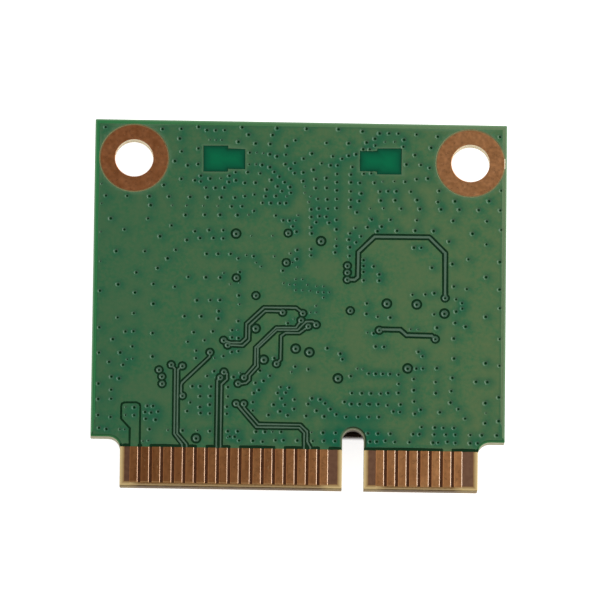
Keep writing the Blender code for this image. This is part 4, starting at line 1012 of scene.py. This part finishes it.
def mask_finish(name, colour, patch, right=None, coat=0.9, tints=(), across=(FAR_LEFT, FAR_RIGHT)):
    """Satin varnish with faint blotches; `right` are both colours at the right of `across`."""
    finish = Finish(name, colour, 0.42, Coat_Weight=coat, Coat_Roughness=0.16, Specular_IOR_Level=0.0)
    if right:
        colour, patch = finish.across((colour, patch), right, *across)
    blotch = finish.range(finish.noise(2.2 * MM, 2.0), 0.35, 0.65, 0.0, 0.65)
    weave = finish.range(finish.noise(0.28 * MM, 3.0), 0.32, 0.68, 0.0, 0.85)
    shade = finish.mix(weave, finish.mix(blotch, colour, patch), patch)
    for tint in tints:
        shade = finish.tint(shade, *tint)
    finish.colour(shade)
    finish.bump(finish.noise(0.25 * MM, 2.0), 0.0006 * MM)
    return finish.material


stained = ("stain", 0.0, 1.65, TEAL)
# Painted shade: the pits of dimples and pads are tinted dark, as the shade of the holes below.
pit_shaded = ("pit", 0.0, 0.9, PIT_SHADE_GREEN)
# Painted light: the sheet is painted lighter and warmer towards the lamp on the right.
MASK_SHEET = mask_finish(
    "mask_over_copper_sheet", tone(42, 104, 66), tone(69, 106, 70),
    right=(tone(62, 111, 71), tone(92, 115, 73)),
    tints=(stained, ("brink", 0.0, 1.0, tone(86, 122, 88)), pit_shaded),
)
MASK_TRACE = mask_finish("mask_over_trace", tone(80, 108, 88), tone(88, 114, 94))
MASK_PAD = mask_finish("mask_over_pad", tone(62, 100, 76), tone(70, 106, 82), tints=(pit_shaded,))
# Painted shade: the middle of each pit is painted near black green, the shade of the hole under the mask.
MASK_PIT_SHADE = mask_finish("mask_in_pit_shade", tone(2, 50, 18), tone(8, 58, 24), coat=0.05)
# Partly painted shade: mask over bare laminate is darker, and the narrow moats are painted darker still as
# the shade of their trench.
MASK_MOAT = mask_finish("mask_over_laminate_shaded", tone(14, 48, 26), tone(18, 53, 30), coat=0.2)
MASK_WINDOW = mask_finish(
    "mask_in_window", tone(0, 66, 42), tone(4, 72, 48), coat=0.4,
    tints=(("indoors", 0.0, 0.35, tone(0, 90, 60)), ("indoors", 0.3, 1.0, tone(0, 106, 68))),
)
# Painted light: the rim is painted bright, paler towards the lamp on the right, with a painted highlight
# along the very edge.
MASK_RIM = mask_finish(
    "mask_at_side", tone(37, 119, 65), tone(43, 123, 69), (tone(102, 130, 92), tone(108, 133, 95)),
    tints=(("shore", 0.55, 1.0, tone(128, 168, 128)),),
)
# Painted highlight: the shoulders' rim is painted lighter along the very edge.
MASK_SHOULDER = mask_finish(
    "mask_at_shoulder", tone(30, 90, 48), tone(36, 97, 54),
    tints=(("shore", 0.68, 0.95, tone(66, 128, 72)),),
)
# Painted highlight along the notch's edge; the mask by the notch is painted lighter on its left and darker
# on its right.
MASK_NOTCH = mask_finish(
    "mask_round_notch", tone(66, 102, 74), tone(74, 108, 80),
    right=(tone(30, 57, 31), tone(38, 63, 37)), coat=0.5,
    tints=(("shore", 0.72, 0.92, tone(126, 134, 104)),), across=(NOTCH_X - 0.8 * MM, NOTCH_X - 0.2 * MM),
)
MASK_LAND_RIM = mask_finish("mask_round_land", tone(138, 132, 92), tone(148, 142, 102), coat=0.1)
print("solder mask finishes ready")

# %% [markdown]
# ## Laminate
# The board is woven glass in epoxy. Its bare face on the tab looks violet
# brown where copper lies inside, and straw-coloured along the edges, where
# the inner copper stops short. A routed wall shows pale resin and glass.
# Some finishes here also carry painted light and shade: the bare face is
# painted lighter towards the lamp, the gaps between contacts darker, the
# notch's end wall darker and the front wall lighter at their feet, and the
# drilled walls near white.

# %% Bare laminate
def row_end(finish, reach):
    """1 at the ends of the rows of contacts, and 0 from `reach` away."""
    away = 1.0
    for row in CONTACT_ROWS:
        for u in (row[0] - CONTACT_HALF, row[-1] + CONTACT_HALF):
            beside = finish.math("SUBTRACT", finish.axis("X"), (u + DATUM_U) * MM)
            away = finish.math("MINIMUM", away, finish.math("ABSOLUTE", beside))
    return finish.range(away, 0.0, reach, 1.0, 0.0)


def laminate_finish(name, colour, patch, size=0.3 * MM, right=None, foot=None, end=None, tints=()):
    """Resin and glass; `right` are its colours at the far right, painted lighter towards the lamp, `foot`
    the painted shade or painted light at the foot of a wall and `end` that at the ends of a row of
    contacts."""
    finish = Finish(name, colour, 0.6, Coat_Weight=0.05, Specular_IOR_Level=0.1)
    if right:
        colour, patch = finish.across((colour, patch), right, FAR_LEFT, FAR_RIGHT)
    weave = finish.range(finish.noise(size, 4.0), 0.35, 0.65)
    shade = finish.mix(weave, colour, patch)
    if foot:
        depth = finish.range(finish.axis("Z"), board_high.z - 0.2 * MM, board_low.z + 0.2 * MM)
        shade = finish.mix(depth, shade, foot)
    for tint in tints:
        shade = finish.tint(shade, *tint)
    if end:
        shade = finish.mix(row_end(finish, 0.7 * MM), shade, end)
    finish.colour(shade)
    finish.bump(finish.noise(0.08 * MM, 3.0), 0.002 * MM)
    return finish.material


# Painted light: the bare tab is painted lighter towards the lamp on the right.
LAMINATE_PLANE = laminate_finish(
    "laminate_over_inner_copper", tone(93, 62, 46), tone(103, 71, 52),
    right=(tone(110, 78, 58), tone(119, 86, 64)),
)
LAMINATE_EDGE = laminate_finish(
    "laminate_beside_edge", tone(130, 94, 55), tone(144, 107, 64),
    tints=(("shore", 0.0, 1.0, tone(235, 209, 150)),),
)
LAMINATE_LIP = laminate_finish(
    "laminate_before_contacts", tone(126, 96, 56), tone(150, 120, 78), 0.12 * MM,
    end=tone(206, 178, 124), tints=(("shore", 0.5, 0.75, tone(184, 158, 116)),),
)
# Painted shade: the laminate between the contacts is painted dark, as the shade between the raised bars.
LAMINATE_GAP_SHADED = laminate_finish("laminate_shaded_between_contacts", tone(66, 36, 16), tone(80, 46, 24))
LAMINATE_WALL = laminate_finish("laminate_routed_wall", tone(184, 180, 146), tone(200, 194, 162))
# Painted shade: the notch's end wall is painted darker towards its foot.
LAMINATE_NOTCH = laminate_finish(
    "laminate_notch_end", tone(160, 158, 132), tone(170, 166, 140), foot=tone(86, 76, 56)
)
# Painted light: the front wall is painted lighter at its foot, where it meets the floor's light.
LAMINATE_FRONT = laminate_finish(
    "laminate_front_wall", tone(92, 68, 38), tone(116, 90, 54), foot=tone(138, 118, 92),
    end=tone(156, 132, 88),
)
LAMINATE_CORNER = laminate_finish("laminate_front_corner", tone(150, 126, 82), tone(166, 142, 96))
# Painted light: the drilled wall is painted near white, as light shining through the laminate into the
# hole.
LAMINATE_HOLE_LIT = laminate_finish("laminate_drilled_wall_lit", tone(255, 240, 206), tone(255, 248, 222))
BOARD_FINISHES = [
    MASK_SHEET, MASK_TRACE, MASK_PAD, MASK_PIT_SHADE, MASK_MOAT, MASK_WINDOW,
    MASK_RIM, MASK_SHOULDER, MASK_NOTCH, MASK_LAND_RIM,
    LAMINATE_PLANE, LAMINATE_EDGE, LAMINATE_LIP, LAMINATE_GAP_SHADED,
    LAMINATE_WALL, LAMINATE_NOTCH, LAMINATE_FRONT, LAMINATE_CORNER, LAMINATE_HOLE_LIT,
]
(
    SHEET, TRACE, PAD, PIT, MOAT, WINDOW, RIM, SHOULDER_RIM, NOTCH_RIM, LAND_RIM,
    PLANE, EDGE, LIP, GAP, WALL, NOTCH_END, FRONT, CORNER, HOLE,
) = range(len(BOARD_FINISHES))
print(f"{len(BOARD_FINISHES)} finishes on the board")

# %% [markdown]
# ## A finish for each triangle
# The board on the desk is one thing, so the model of it is one closed mesh and
# not a stack of layers. Each triangle takes its finish from where its middle
# lies: in a moat, on a trace, on the bare tab and so on.

# %% Which finish a triangle gets
NOTCH_RIM_HALF = 1.5


def inside_row(u):
    """Whether a place lies between the outer flanks of a row of contacts."""
    return any(row[0] - CONTACT_HALF < u < row[-1] + CONTACT_HALF for row in CONTACT_ROWS)


def triangle_finishes(face, points, triangles):
    middles = points[triangles].mean(axis=1)
    edge, track, sheet = face.levels(middles)
    kinds = np.full(len(triangles), SHEET)
    kinds[sheet < SHOULDER / 2] = MOAT
    for block in face.blocks:
        kinds[to_block(middles, block) < 0] = WINDOW
    rim = (edge < EDGE_MARGIN + SHOULDER) & (kinds == MOAT) & (middles[:, 1] > MOAT_V + MOAT_HALF)
    by_notch = np.abs(middles[:, 0] - NOTCH_U) < NOTCH_RIM_HALF
    kinds[rim] = RIM
    kinds[rim & (middles[:, 1] < FRONT_ZONE_V)] = SHOULDER_RIM
    kinds[rim & by_notch & (middles[:, 1] < FRONT_ZONE_V + 1)] = NOTCH_RIM
    kinds[track < SHOULDER / 2] = TRACE
    for corners, half, clear in face.tracks:
        if len(corners) == 1:
            kinds[np.hypot(*(middles - np.array(corners[0])).T) < half + SHOULDER / 2] = PAD
    kinds[dimple_values(middles, face.dimples)[1] > 0.5] = PIT
    tab = middles[:, 1] < MASK_EDGE_V + SHOULDER / 2
    between = np.array([inside_row(u) for u in middles[:, 0]])
    kinds[tab] = PLANE
    kinds[tab & (edge < SHORE_REACH)] = EDGE
    kinds[tab & between & (middles[:, 1] < CONTACT_FRONT_V)] = LIP
    kinds[tab & between & (middles[:, 1] > CONTACT_FRONT_V)] = GAP
    kinds[tab & between & (middles[:, 1] < FRONT_BEVEL)] = FRONT
    kinds[tab & ~between & (middles[:, 1] < FRONT_BEVEL)] = CORNER
    for place in SCREW_PLACES:
        away = np.hypot(*(middles - np.array(place)).T) - LAND_RADIUS
        kinds[away < SHOULDER] = LAND_RIM
    bare = (middles[:, 0] > BARE_U[0]) & (middles[:, 0] < BARE_U[1])
    kinds[bare & (np.abs(middles[:, 1] - SCREW_V) < BARE_HALF)] = HOLE
    return kinds


solder_kinds = triangle_finishes(solder_face, solder_points, solder_triangles)
component_kinds = triangle_finishes(component_face, component_points, component_triangles)
print("triangles by finish:", np.bincount(solder_kinds, minlength=len(BOARD_FINISHES)).tolist())

# %% [markdown]
# ## The board as one closed piece
# Both faces end on the same outline and the same holes, so a wall of quads
# between them closes the board. A closed piece casts a true shadow and can be
# printed or cut later.

# %% Edges of the faces
SOLDER_BASE = board_high.z / MM - MASK_HIGH
COMPONENT_BASE = board_low.z / MM + MASK_HIGH
WALL_FRONT_V = 0.05


def drawing_to_frame(points, heights):
    """Drawing millimetres to metres in the frame."""
    places = np.empty((len(points), 3))
    places[:, 0] = (points[:, 0] + DATUM_U) * MM
    places[:, 1] = points[:, 1] * MM + board_low.y
    places[:, 2] = heights * MM
    return places


def rounded_place(point):
    """A place to the nearest micrometre, by which the faces' rims find each other."""
    return round(point[0], 3), round(point[1], 3)


def rim_edges(triangles):
    """Edges with a triangle on one side only, in the triangle's direction."""
    pairs = np.concatenate([triangles[:, [0, 1]], triangles[:, [1, 2]], triangles[:, [2, 0]]])
    known = set(map(tuple, pairs.tolist()))
    return [(a, b) for a, b in known if (b, a) not in known]


def anticlockwise(points, triangles):
    a, b, c = (points[triangles[:, k]] for k in range(3))
    area = (b - a)[:, 0] * (c - a)[:, 1] - (b - a)[:, 1] * (c - a)[:, 0]
    turned = triangles.copy()
    turned[area < 0] = turned[area < 0][:, ::-1]
    return turned


print(f"{len(rim_edges(anticlockwise(solder_points, solder_triangles)))} edges to wall up")


# %% Close the board
def wall_kind(middle):
    """The finish of a wall, by where its middle lies."""
    if min(np.hypot(*(middle - np.array(place))) for place in SCREW_PLACES) < LAND_RADIUS:
        return HOLE
    if middle[1] < WALL_FRONT_V:
        return FRONT if inside_row(middle[0]) else CORNER
    at_notch = abs(middle[0] - NOTCH_U) < NOTCH_WIDTH and middle[1] > NOTCH_DEPTH - NOTCH_WIDTH / 2
    return NOTCH_END if at_notch else WALL


def build_board():
    top = anticlockwise(solder_points, solder_triangles)
    bottom = anticlockwise(component_points, component_triangles)
    top_height, top_values = solder_face.height(solder_points)
    bottom_height, bottom_values = component_face.height(component_points)
    places = np.concatenate([
        drawing_to_frame(solder_points, SOLDER_BASE + top_height),
        drawing_to_frame(component_points, COMPONENT_BASE - bottom_height),
    ])
    shift = len(solder_points)
    below = {rounded_place(point): k + shift for k, point in enumerate(component_points)}
    walls = []
    wall_kinds = []
    lost = 0
    for a, b in rim_edges(top):
        ends = [below.get(rounded_place(solder_points[k])) for k in (b, a)]
        if None in ends:
            lost += 1
            continue
        walls.append((b, a, ends[1], ends[0]))
        wall_kinds.append(wall_kind((solder_points[a] + solder_points[b]) / 2))
    faces = top.tolist() + (bottom[:, ::-1] + shift).tolist() + walls
    kinds = np.concatenate([solder_kinds, component_kinds, wall_kinds]).astype(int)
    board = add_object("board", places.tolist(), faces, BOARD_FINISHES, kinds)
    for value_name, values in top_values.items():
        stored = board.data.attributes.new(value_name, "FLOAT", "POINT")
        stored.data.foreach_set("value", np.concatenate([values, bottom_values[value_name]]))
    board.data.validate()
    soften(board, 30)
    return board, lost


board, lost = build_board()
dress(board, "solder_mask", "circuit_board")
print(f"board of {len(board.data.polygons)} faces, {lost} open rim edges")

# %% [markdown]
# ## Contacts and lands
# The contacts are etched copper with a gold flash. Etching eats sideways, so
# their flanks slope, and the slope towards the lamp shows as one bright line
# along each contact. That slope and the sloped front end of each bar are also
# painted paler, a painted highlight. Each bar here is a short loft with that
# section.

# %% Gold finish
# Painted light: gold is painted darker at the row's end away from the lamp and lighter at the end near it.
PAINTED_LIGHT_ACROSS = (-12 * MM, 12 * MM)   # from the dim end of the row to the bright one


def gold_finish(name, left, right, scratch, streak):
    """Dull gold, streaked as it was wiped; `left` and `right` are a dark and a light tone each, and the
    ramp between them is painted light towards the lamp.
    """
    finish = Finish(name, left[0], 0.36, 1.0)
    dark, light = finish.across(left, right, *PAINTED_LIGHT_ACROSS)
    blotch = finish.range(finish.noise(0.5 * MM, 4.0, streak), 0.3, 0.7)
    nick = finish.range(finish.noise(0.16 * MM, 5.0, streak), 0.70, 0.78)
    finish.colour(finish.mix(nick, finish.mix(blotch, dark, light), scratch))
    finish.roughness(finish.range(finish.noise(0.2 * MM, 3.0), 0.3, 0.7, 0.26, 0.44))
    finish.bump(finish.noise(0.05 * MM, 4.0, streak), 0.0006 * MM)
    return finish.material


def highlight_finish(name, left, right):
    """A slope of the contacts, painted even and bright as a painted highlight."""
    finish = Finish(name, left, 0.36, 1.0)
    finish.colour(finish.across([left], [right], *PAINTED_LIGHT_ACROSS)[0])
    return finish.material


# Painted light: the contacts are painted lighter towards the lamp's end of the row.
CONTACT_GOLD = gold_finish(
    "contact_gold", (tone(150, 94, 54), tone(173, 116, 70)), (tone(206, 140, 88), tone(232, 166, 108)),
    tone(232, 188, 134), (1, 0.22, 1),
)
# Painted highlight: the flank towards the lamp and the front end of each bar are painted paler than the
# gold face.
CONTACT_FLANK_HIGHLIGHT = highlight_finish("contact_flank_highlight", tone(214, 172, 140), tone(252, 220, 190))
CONTACT_FRONT_HIGHLIGHT = highlight_finish("contact_front_highlight", tone(228, 178, 118), tone(208, 160, 106))
# Painted light: the right land, nearer the lamp, is painted lighter than the left.
LAND_COPPER = gold_finish(
    "land_copper", (tone(168, 105, 62), tone(190, 124, 80)), (tone(192, 133, 85), tone(210, 148, 99)),
    tone(232, 196, 146), (1, 1, 1),
)
RECEPTACLE_GOLD = gold_finish(
    "receptacle_gold", (tone(226, 176, 96), tone(238, 196, 120)), (tone(226, 176, 96), tone(238, 196, 120)),
    tone(250, 222, 160), (1, 1, 1),
)
print("gold finishes ready")

# %% [markdown]
# ## The row of contacts
# A contact is a bar 0.6 mm wide. Its section is the same all along, so the bar
# is that section carried from station to station, low at the front, where the
# card slides into its slot. All bars of one face are one piece. A few tenths
# of a micrometre of wander keep the bright lines from looking ruled.

# %% Contact bars
CONTACT_SECTION = [
    (-0.30, 0.0), (-0.294, 0.008), (-0.262, 0.033), (0.244, 0.033), (0.280, 0.006), (0.281, 0.0),
]
CONTACT_FINISHES = [CONTACT_GOLD, CONTACT_FLANK_HIGHLIGHT, CONTACT_FRONT_HIGHLIGHT]
FACE_KIND, FLANK_KIND, FRONT_KIND = range(3)
FLANK_STRIP = 3
FRONT_ROW = 1
CONTACT_STATIONS = [(0.0, 0.12), (0.05, 0.8), (0.09, 1.0)]
CONTACT_BACK_V = MASK_EDGE_V + 0.02
BAR_STEPS = 10
MOST_WANDER = 0.0007


def add_contacts(name, base, way):
    """All contacts of one face; `way` is +1 on the solder side, -1 below."""
    rng = random.Random(5)
    verts = []
    faces = []
    kinds = []
    stations = [(CONTACT_FRONT_V + v, scale) for v, scale in CONTACT_STATIONS]
    first_flat = stations[-1][0]
    for k in range(1, BAR_STEPS + 1):
        stations.append((first_flat + (CONTACT_BACK_V - first_flat) * k / BAR_STEPS, 1.0))
    width = len(CONTACT_SECTION)
    for u in CONTACTS:
        start = len(verts)
        for v, scale in stations:
            wander = rng.uniform(-MOST_WANDER, MOST_WANDER)
            for across, height in CONTACT_SECTION:
                shift = wander if 0.1 < abs(across) < 0.29 else 0.0
                z = base + way * height * scale
                verts.append(((u + across + shift + DATUM_U) * MM, v * MM + board_low.y, z * MM))
        for row in range(len(stations) - 1):
            for k in range(width):
                a = start + row * width + k
                b = start + row * width + (k + 1) % width
                faces.append((a, a + width, b + width, b)[::way])
                kind = FLANK_KIND if k == FLANK_STRIP else FACE_KIND
                kinds.append(FRONT_KIND if row == FRONT_ROW and way > 0 else kind)
        last = start + (len(stations) - 1) * width
        faces.append(tuple(range(start, start + width))[::-way])
        faces.append(tuple(range(last, last + width))[::way])
        kinds += [FACE_KIND, FACE_KIND]
    piece = add_object(name, verts, faces, CONTACT_FINISHES, kinds)
    dress(piece, "contact_gold")


add_contacts("contacts_solder_side", SOLDER_BASE, 1)
add_contacts("contacts_component_side", COMPONENT_BASE, -1)
print(f"{len(CONTACTS)} contacts on each face")

# %% [markdown]
# ## Screw lands
# A land is a flat copper ring whose edges are soft from etching. A lathe
# makes it: a short section turned about the hole's axis.

# %% Turned rings
LAND_SECTION = [
    (HOLE_RADIUS, 0.0), (HOLE_RADIUS, 0.022), (HOLE_RADIUS + 0.025, 0.033),
    (COPPER_RADIUS - 0.01, 0.033), (COPPER_RADIUS - 0.002, 0.026), (COPPER_RADIUS, 0.0),
]


def add_land(name, place, base, way):
    verts = []
    faces = []
    width = len(LAND_SECTION)
    for step in range(HOLE_STEPS):
        turn = 2 * math.pi * step / HOLE_STEPS
        for radius, height in LAND_SECTION:
            u = place[0] + radius * math.cos(turn) + DATUM_U
            v = place[1] + radius * math.sin(turn)
            verts.append((u * MM, v * MM + board_low.y, (base + way * height) * MM))
        for k in range(width):
            a = step * width + k
            b = step * width + (k + 1) % width
            c = ((step + 1) % HOLE_STEPS) * width
            faces.append((a, c + k, c + (k + 1) % width, b)[::way])
    piece = add_object(name, verts, faces, [LAND_COPPER])
    soften(piece, 8)
    dress(piece, "contact_gold")


for side, place in zip(("left", "right"), SCREW_PLACES):
    add_land(f"screw_land_{side}", place, SOLDER_BASE, 1)
    add_land(f"standoff_land_{side}", place, COMPONENT_BASE, -1)
print("four lands turned")

# %% [markdown]
# ## Finishes of the solids that stay
# The can, the receptacles and the parts under the can keep their solids and
# get a finish each. The can is tinned steel sheet, rolled one way, so its grain
# is stretched. The upright front of the lid lies in shade under the card, and
# it is painted near black as painted shade, which shows as a dark strip in the
# key notch. The finish picks that band out by place and by slope.

# %% Tinned sheet
PAINTED_SHADE_BACK_Y = CAN_LOW.y + 0.6 * MM


def steel_finish(name, painted_shade=False):
    """Tinned sheet; when asked, the upright front of the lid is painted near black, as painted shade under
    the card.
    """
    finish = Finish(name, tone(172, 172, 168), 0.34, 1.0, Specular_IOR_Level=0.0)
    grain = finish.range(finish.noise(0.35 * MM, 4.0, (1, 0.08, 1)), 0.3, 0.7)
    smear = finish.range(finish.noise(3.0 * MM, 3.0), 0.35, 0.7)
    shade = finish.mix(grain, tone(166, 166, 162), tone(188, 188, 184))
    shade = finish.mix(smear, shade, tone(150, 148, 142))
    if painted_shade:
        # Painted shade: the lid's upright front, in shade under the card, is painted near black and loses
        # its metal.
        upright = finish.range(finish.axis("Z", "Normal"), -0.97, -0.92)
        front = finish.range(finish.axis("Y"), PAINTED_SHADE_BACK_Y + 0.05 * MM, PAINTED_SHADE_BACK_Y)
        shaded = finish.math("MULTIPLY", front, upright)
        shade = finish.mix(shaded, shade, tone(34, 27, 20))
        finish.links.new(finish.math("SUBTRACT", 1.0, shaded), finish.shader.inputs["Metallic"])
    finish.colour(shade)
    finish.roughness(finish.range(finish.noise(1.2 * MM, 3.0), 0.3, 0.7, 0.26, 0.46))
    finish.bump(finish.noise(0.12 * MM, 3.0, (1, 0.1, 1)), 0.0015 * MM)
    return finish.material


STEEL = steel_finish("tinned_steel")
# The lid's finish carries painted shade on its upright front.
LID_STEEL = steel_finish("tinned_steel_lid", painted_shade=True)
print("sheet finishes ready")

# %% [markdown]
# ## Mouldings and metal ends
# A chip's leads, a capacitor's caps and a choke's winding belong to the same
# solid as the body that they sit on. Cutting the solid would move it, so the
# finish does the work: it reads how far a point lies from the middle of the
# part's own box, and is metal beyond a share of it.

# %% Mouldings and their metal
TIN = tone(196, 196, 192)


def moulding_finish(name, colour, patch, roughness):
    finish = Finish(name, colour, roughness)
    finish.colour(finish.mix(finish.range(finish.noise(0.4 * MM, 3.0), 0.3, 0.7), colour, patch))
    finish.bump(finish.noise(0.04 * MM, 3.0), 0.002 * MM)
    return finish


def metal_where(finish, share, metal=TIN):
    """Turn the body into bare metal where `share` is 1."""
    body = finish.shader.inputs["Base Color"].links[0].from_socket
    finish.colour(finish.mix(share, body, metal))
    finish.links.new(share, finish.shader.inputs["Metallic"])
    return finish.material


def from_middle(finish, way):
    """Distance from the middle of the part's box, as a share of its length."""
    return finish.math("ABSOLUTE", finish.math("SUBTRACT", finish.axis(way, "Generated"), 0.5))


def ended_finish(name, colour, patch, along, share):
    """A ceramic body whose ends beyond `share` of its length are tinned."""
    finish = moulding_finish(name, colour, patch, 0.45)
    return metal_where(finish, finish.range(from_middle(finish, along), share - 0.01, share + 0.01))


def leaded_finish(name, **margins):
    """Moulded epoxy with tinned leads beyond a margin of the part's box, along X, Y or both."""
    finish = moulding_finish(name, tone(36, 36, 38), tone(48, 48, 50), 0.55)
    lead = 0.0
    for way, margin in margins.items():
        beyond = finish.range(from_middle(finish, way), 0.5 - margin, 0.5 - 0.8 * margin)
        lead = finish.math("MAXIMUM", lead, beyond)
    return metal_where(finish, lead)


def layered_finish(name, colour, patch, low, high, metal):
    """A body whose layer from `low` to `high`, as shares of its height, is metal."""
    finish = moulding_finish(name, colour, patch, 0.5)
    up = finish.axis("Z", "Generated")
    over = finish.range(up, low - 0.01, low + 0.01)
    under = finish.range(up, high + 0.01, high - 0.01)
    return metal_where(finish, finish.math("MULTIPLY", over, under), metal)


CREAM = moulding_finish("cream_moulding", tone(226, 220, 200), tone(236, 230, 212), 0.5).material
CHIP = leaded_finish("moulded_chip", X=0.004, Y=0.004)
MEMORY = {way: leaded_finish(f"moulded_memory_{way.lower()}", **{way: 0.17}) for way in "XY"}
CRYSTAL = layered_finish(
    "crystal_package", tone(196, 184, 156), tone(206, 196, 170), -0.5, 0.36, tone(206, 204, 196)
)
CHOKE = layered_finish(
    "wound_choke", tone(56, 54, 54), tone(66, 64, 62), 0.27, 0.73, tone(204, 128, 84)
)
print("moulded finishes ready")

# %% [markdown]
# ## Which solid takes which finish
# A solid's own name says what part it is. Two-ended parts lie both ways on a
# board, so each kind needs one finish for either way.

# %% Assign the finishes
TAN, TAN_PATCH = tone(176, 140, 106), tone(190, 154, 118)
WHITE, WHITE_PATCH = tone(228, 226, 218), tone(238, 236, 230)
BLACK, BLACK_PATCH = tone(34, 34, 38), tone(44, 44, 48)
END_CAP_SHARE = 0.25
ended = {}


def longer_way(low, high):
    return "X" if high.x - low.x > high.y - low.y else "Y"


def ended_for(name, low, high):
    """The finish of a two-ended part, by its kind and by which way it lies."""
    along = longer_way(low, high)
    if "capacitor" in name:
        kind, colours = "capacitor_ceramic", (TAN, TAN_PATCH)
    elif "resistor" in name:
        kind, colours = "resistor_body", (BLACK, BLACK_PATCH)
    else:
        kind, colours = "filter_ceramic", (WHITE, WHITE_PATCH)
    key = f"{kind}_{along.lower()}"
    if key not in ended:
        ended[key] = ended_finish(key, *colours, along, END_CAP_SHARE)
    return ended[key]


def finish_for(name):
    low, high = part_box(name)
    if name.startswith("shield"):
        return LID_STEEL if name == "shield_lid" else STEEL
    if "receptacle_base" in name:
        return CREAM
    if "receptacle" in name:
        return RECEPTACLE_GOLD
    if any(word in name for word in ("capacitor", "resistor", "coil", "filter")):
        return ended_for(name, low, high)
    if name == "memory_chip":
        return MEMORY[longer_way(low, high)]
    if name == "reference_crystal":
        return CRYSTAL
    return CHOKE if "inductor" in name else CHIP


for name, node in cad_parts.items():
    if name == "circuit_board":
        continue
    material = finish_for(name)
    for slot in node.material_slots:
        slot.material = material
print(f"{len(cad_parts) - 1} solids finished, {len(ended)} kinds of two-ended part")

# %% [markdown]
# ## Floor and light
# The floor is white paper. One large soft lamp stands low on the right, and
# pale walls light the card from all round under a dim ceiling. Flat gold
# mirrors the ceiling and looks brown, while each slope that faces the lamp
# flashes. The floor adds a little light of its own for the camera, so that it
# goes to white. That light fades in the last fifth of a millimetre before the
# can, which leaves a painted contact shadow along the can's foot, and the card's
# soft shadow stays.

# %% Floor
FLOOR_HALF = 1.5
FLOOR_GLOW = 0.82
SHADOW_REACH = 0.2 * MM


def paper_finish():
    """White paper that glows for the camera, but not close to the can, which leaves a painted contact
    shadow there.
    """
    finish = Finish("white_paper", (0.8, 0.8, 0.8, 1), 0.9, Specular_IOR_Level=0.0)
    nodes, links = finish.nodes, finish.links
    path = nodes.new("ShaderNodeLightPath")
    seen = finish.math("MAXIMUM", path.outputs["Is Camera Ray"], path.outputs["Is Glossy Ray"])
    seen = finish.math("MAXIMUM", seen, path.outputs["Is Transmission Ray"])
    middle, half = (CAN_LOW + CAN_HIGH) / 2, (CAN_HIGH - CAN_LOW) / 2
    beside = []
    for way, start, reach in (("X", middle.x, half.x), ("Y", middle.y, half.y)):
        away = finish.math("ABSOLUTE", finish.math("SUBTRACT", finish.axis(way), start))
        beside.append(finish.math("SUBTRACT", away, reach))
    # Painted shadow: the glow is gone within SHADOW_REACH of the can's footprint.
    clear = finish.range(finish.math("MAXIMUM", *beside), 0.0, SHADOW_REACH)
    seen = finish.math("MULTIPLY", seen, clear)
    glow = nodes.new("ShaderNodeEmission")
    links.new(finish.math("MULTIPLY", seen, FLOOR_GLOW), glow.inputs["Strength"])
    both = nodes.new("ShaderNodeAddShader")
    links.new(finish.shader.outputs[0], both.inputs[0])
    links.new(glow.outputs[0], both.inputs[1])
    links.new(both.outputs[0], nodes["Material Output"].inputs["Surface"])
    return finish.material


corners = [(FLOOR_HALF * x, FLOOR_HALF * y, 0) for x, y in ((-1, -1), (1, -1), (1, 1), (-1, 1))]
floor = add_object("floor", corners, [(0, 1, 2, 3)], [paper_finish()])
floor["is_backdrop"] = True
print(f"floor of {2 * FLOOR_HALF:.0f} m laid")

# %% [markdown]
# ## Studio light
# The walls and the ceiling are the world's own light, a pale ring below and a
# dim cap above. One lamp at the side is enough for the bright lines.

# %% Walls, ceiling and lamp
WALL_LIGHT = 0.85
CEILING_LIGHT = 0.30


def add_world():
    """Pale walls up to about 40 degrees, then a dim ceiling."""
    world = bpy.data.worlds.new("studio")
    scene.world = world
    world.use_nodes = True
    nodes, links = world.node_tree.nodes, world.node_tree.links
    where = nodes.new("ShaderNodeTexCoord")
    split = nodes.new("ShaderNodeSeparateXYZ")
    links.new(where.outputs["Generated"], split.inputs["Vector"])
    level = nodes.new("ShaderNodeMapRange")
    level.interpolation_type = "SMOOTHSTEP"
    links.new(split.outputs["Z"], level.inputs["Value"])
    for socket, number in (
        ("From Min", 0.55), ("From Max", 0.85), ("To Min", WALL_LIGHT), ("To Max", CEILING_LIGHT)
    ):
        level.inputs[socket].default_value = number
    links.new(level.outputs["Result"], nodes["Background"].inputs["Strength"])
    nodes["Background"].inputs["Color"].default_value = (1, 1, 1, 1)
    return world


def add_lamp(name, place, width, height, power):
    """A softbox that faces the card."""
    data = bpy.data.lights.new(name, "AREA")
    data.shape = "RECTANGLE"
    data.size = width
    data.size_y = height
    data.energy = power
    lamp = bpy.data.objects.new(name, data)
    scene.collection.objects.link(lamp)
    lamp.location = place
    lamp.rotation_euler = Vector(place).to_track_quat("Z", "Y").to_euler()
    return lamp


add_world()
add_lamp("key_lamp", (0.130, 0.072, 0.108), 0.24, 0.12, 0.21)
scene.view_settings.view_transform = "Standard"
print("studio lit")

# %% [markdown]
# ## Size
# The finished card has to keep the size of its solids. The last step prints
# how far a corner of the box has moved from that of the solids.

# %% Finish
view_bounds = [list(corner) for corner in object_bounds()]
grown = [max(abs(a - b) for a, b in zip(old, new)) / MM for old, new in zip(cad_bounds, view_bounds)]
print(f"largest shift of a corner: {max(grown):.3f} mm")
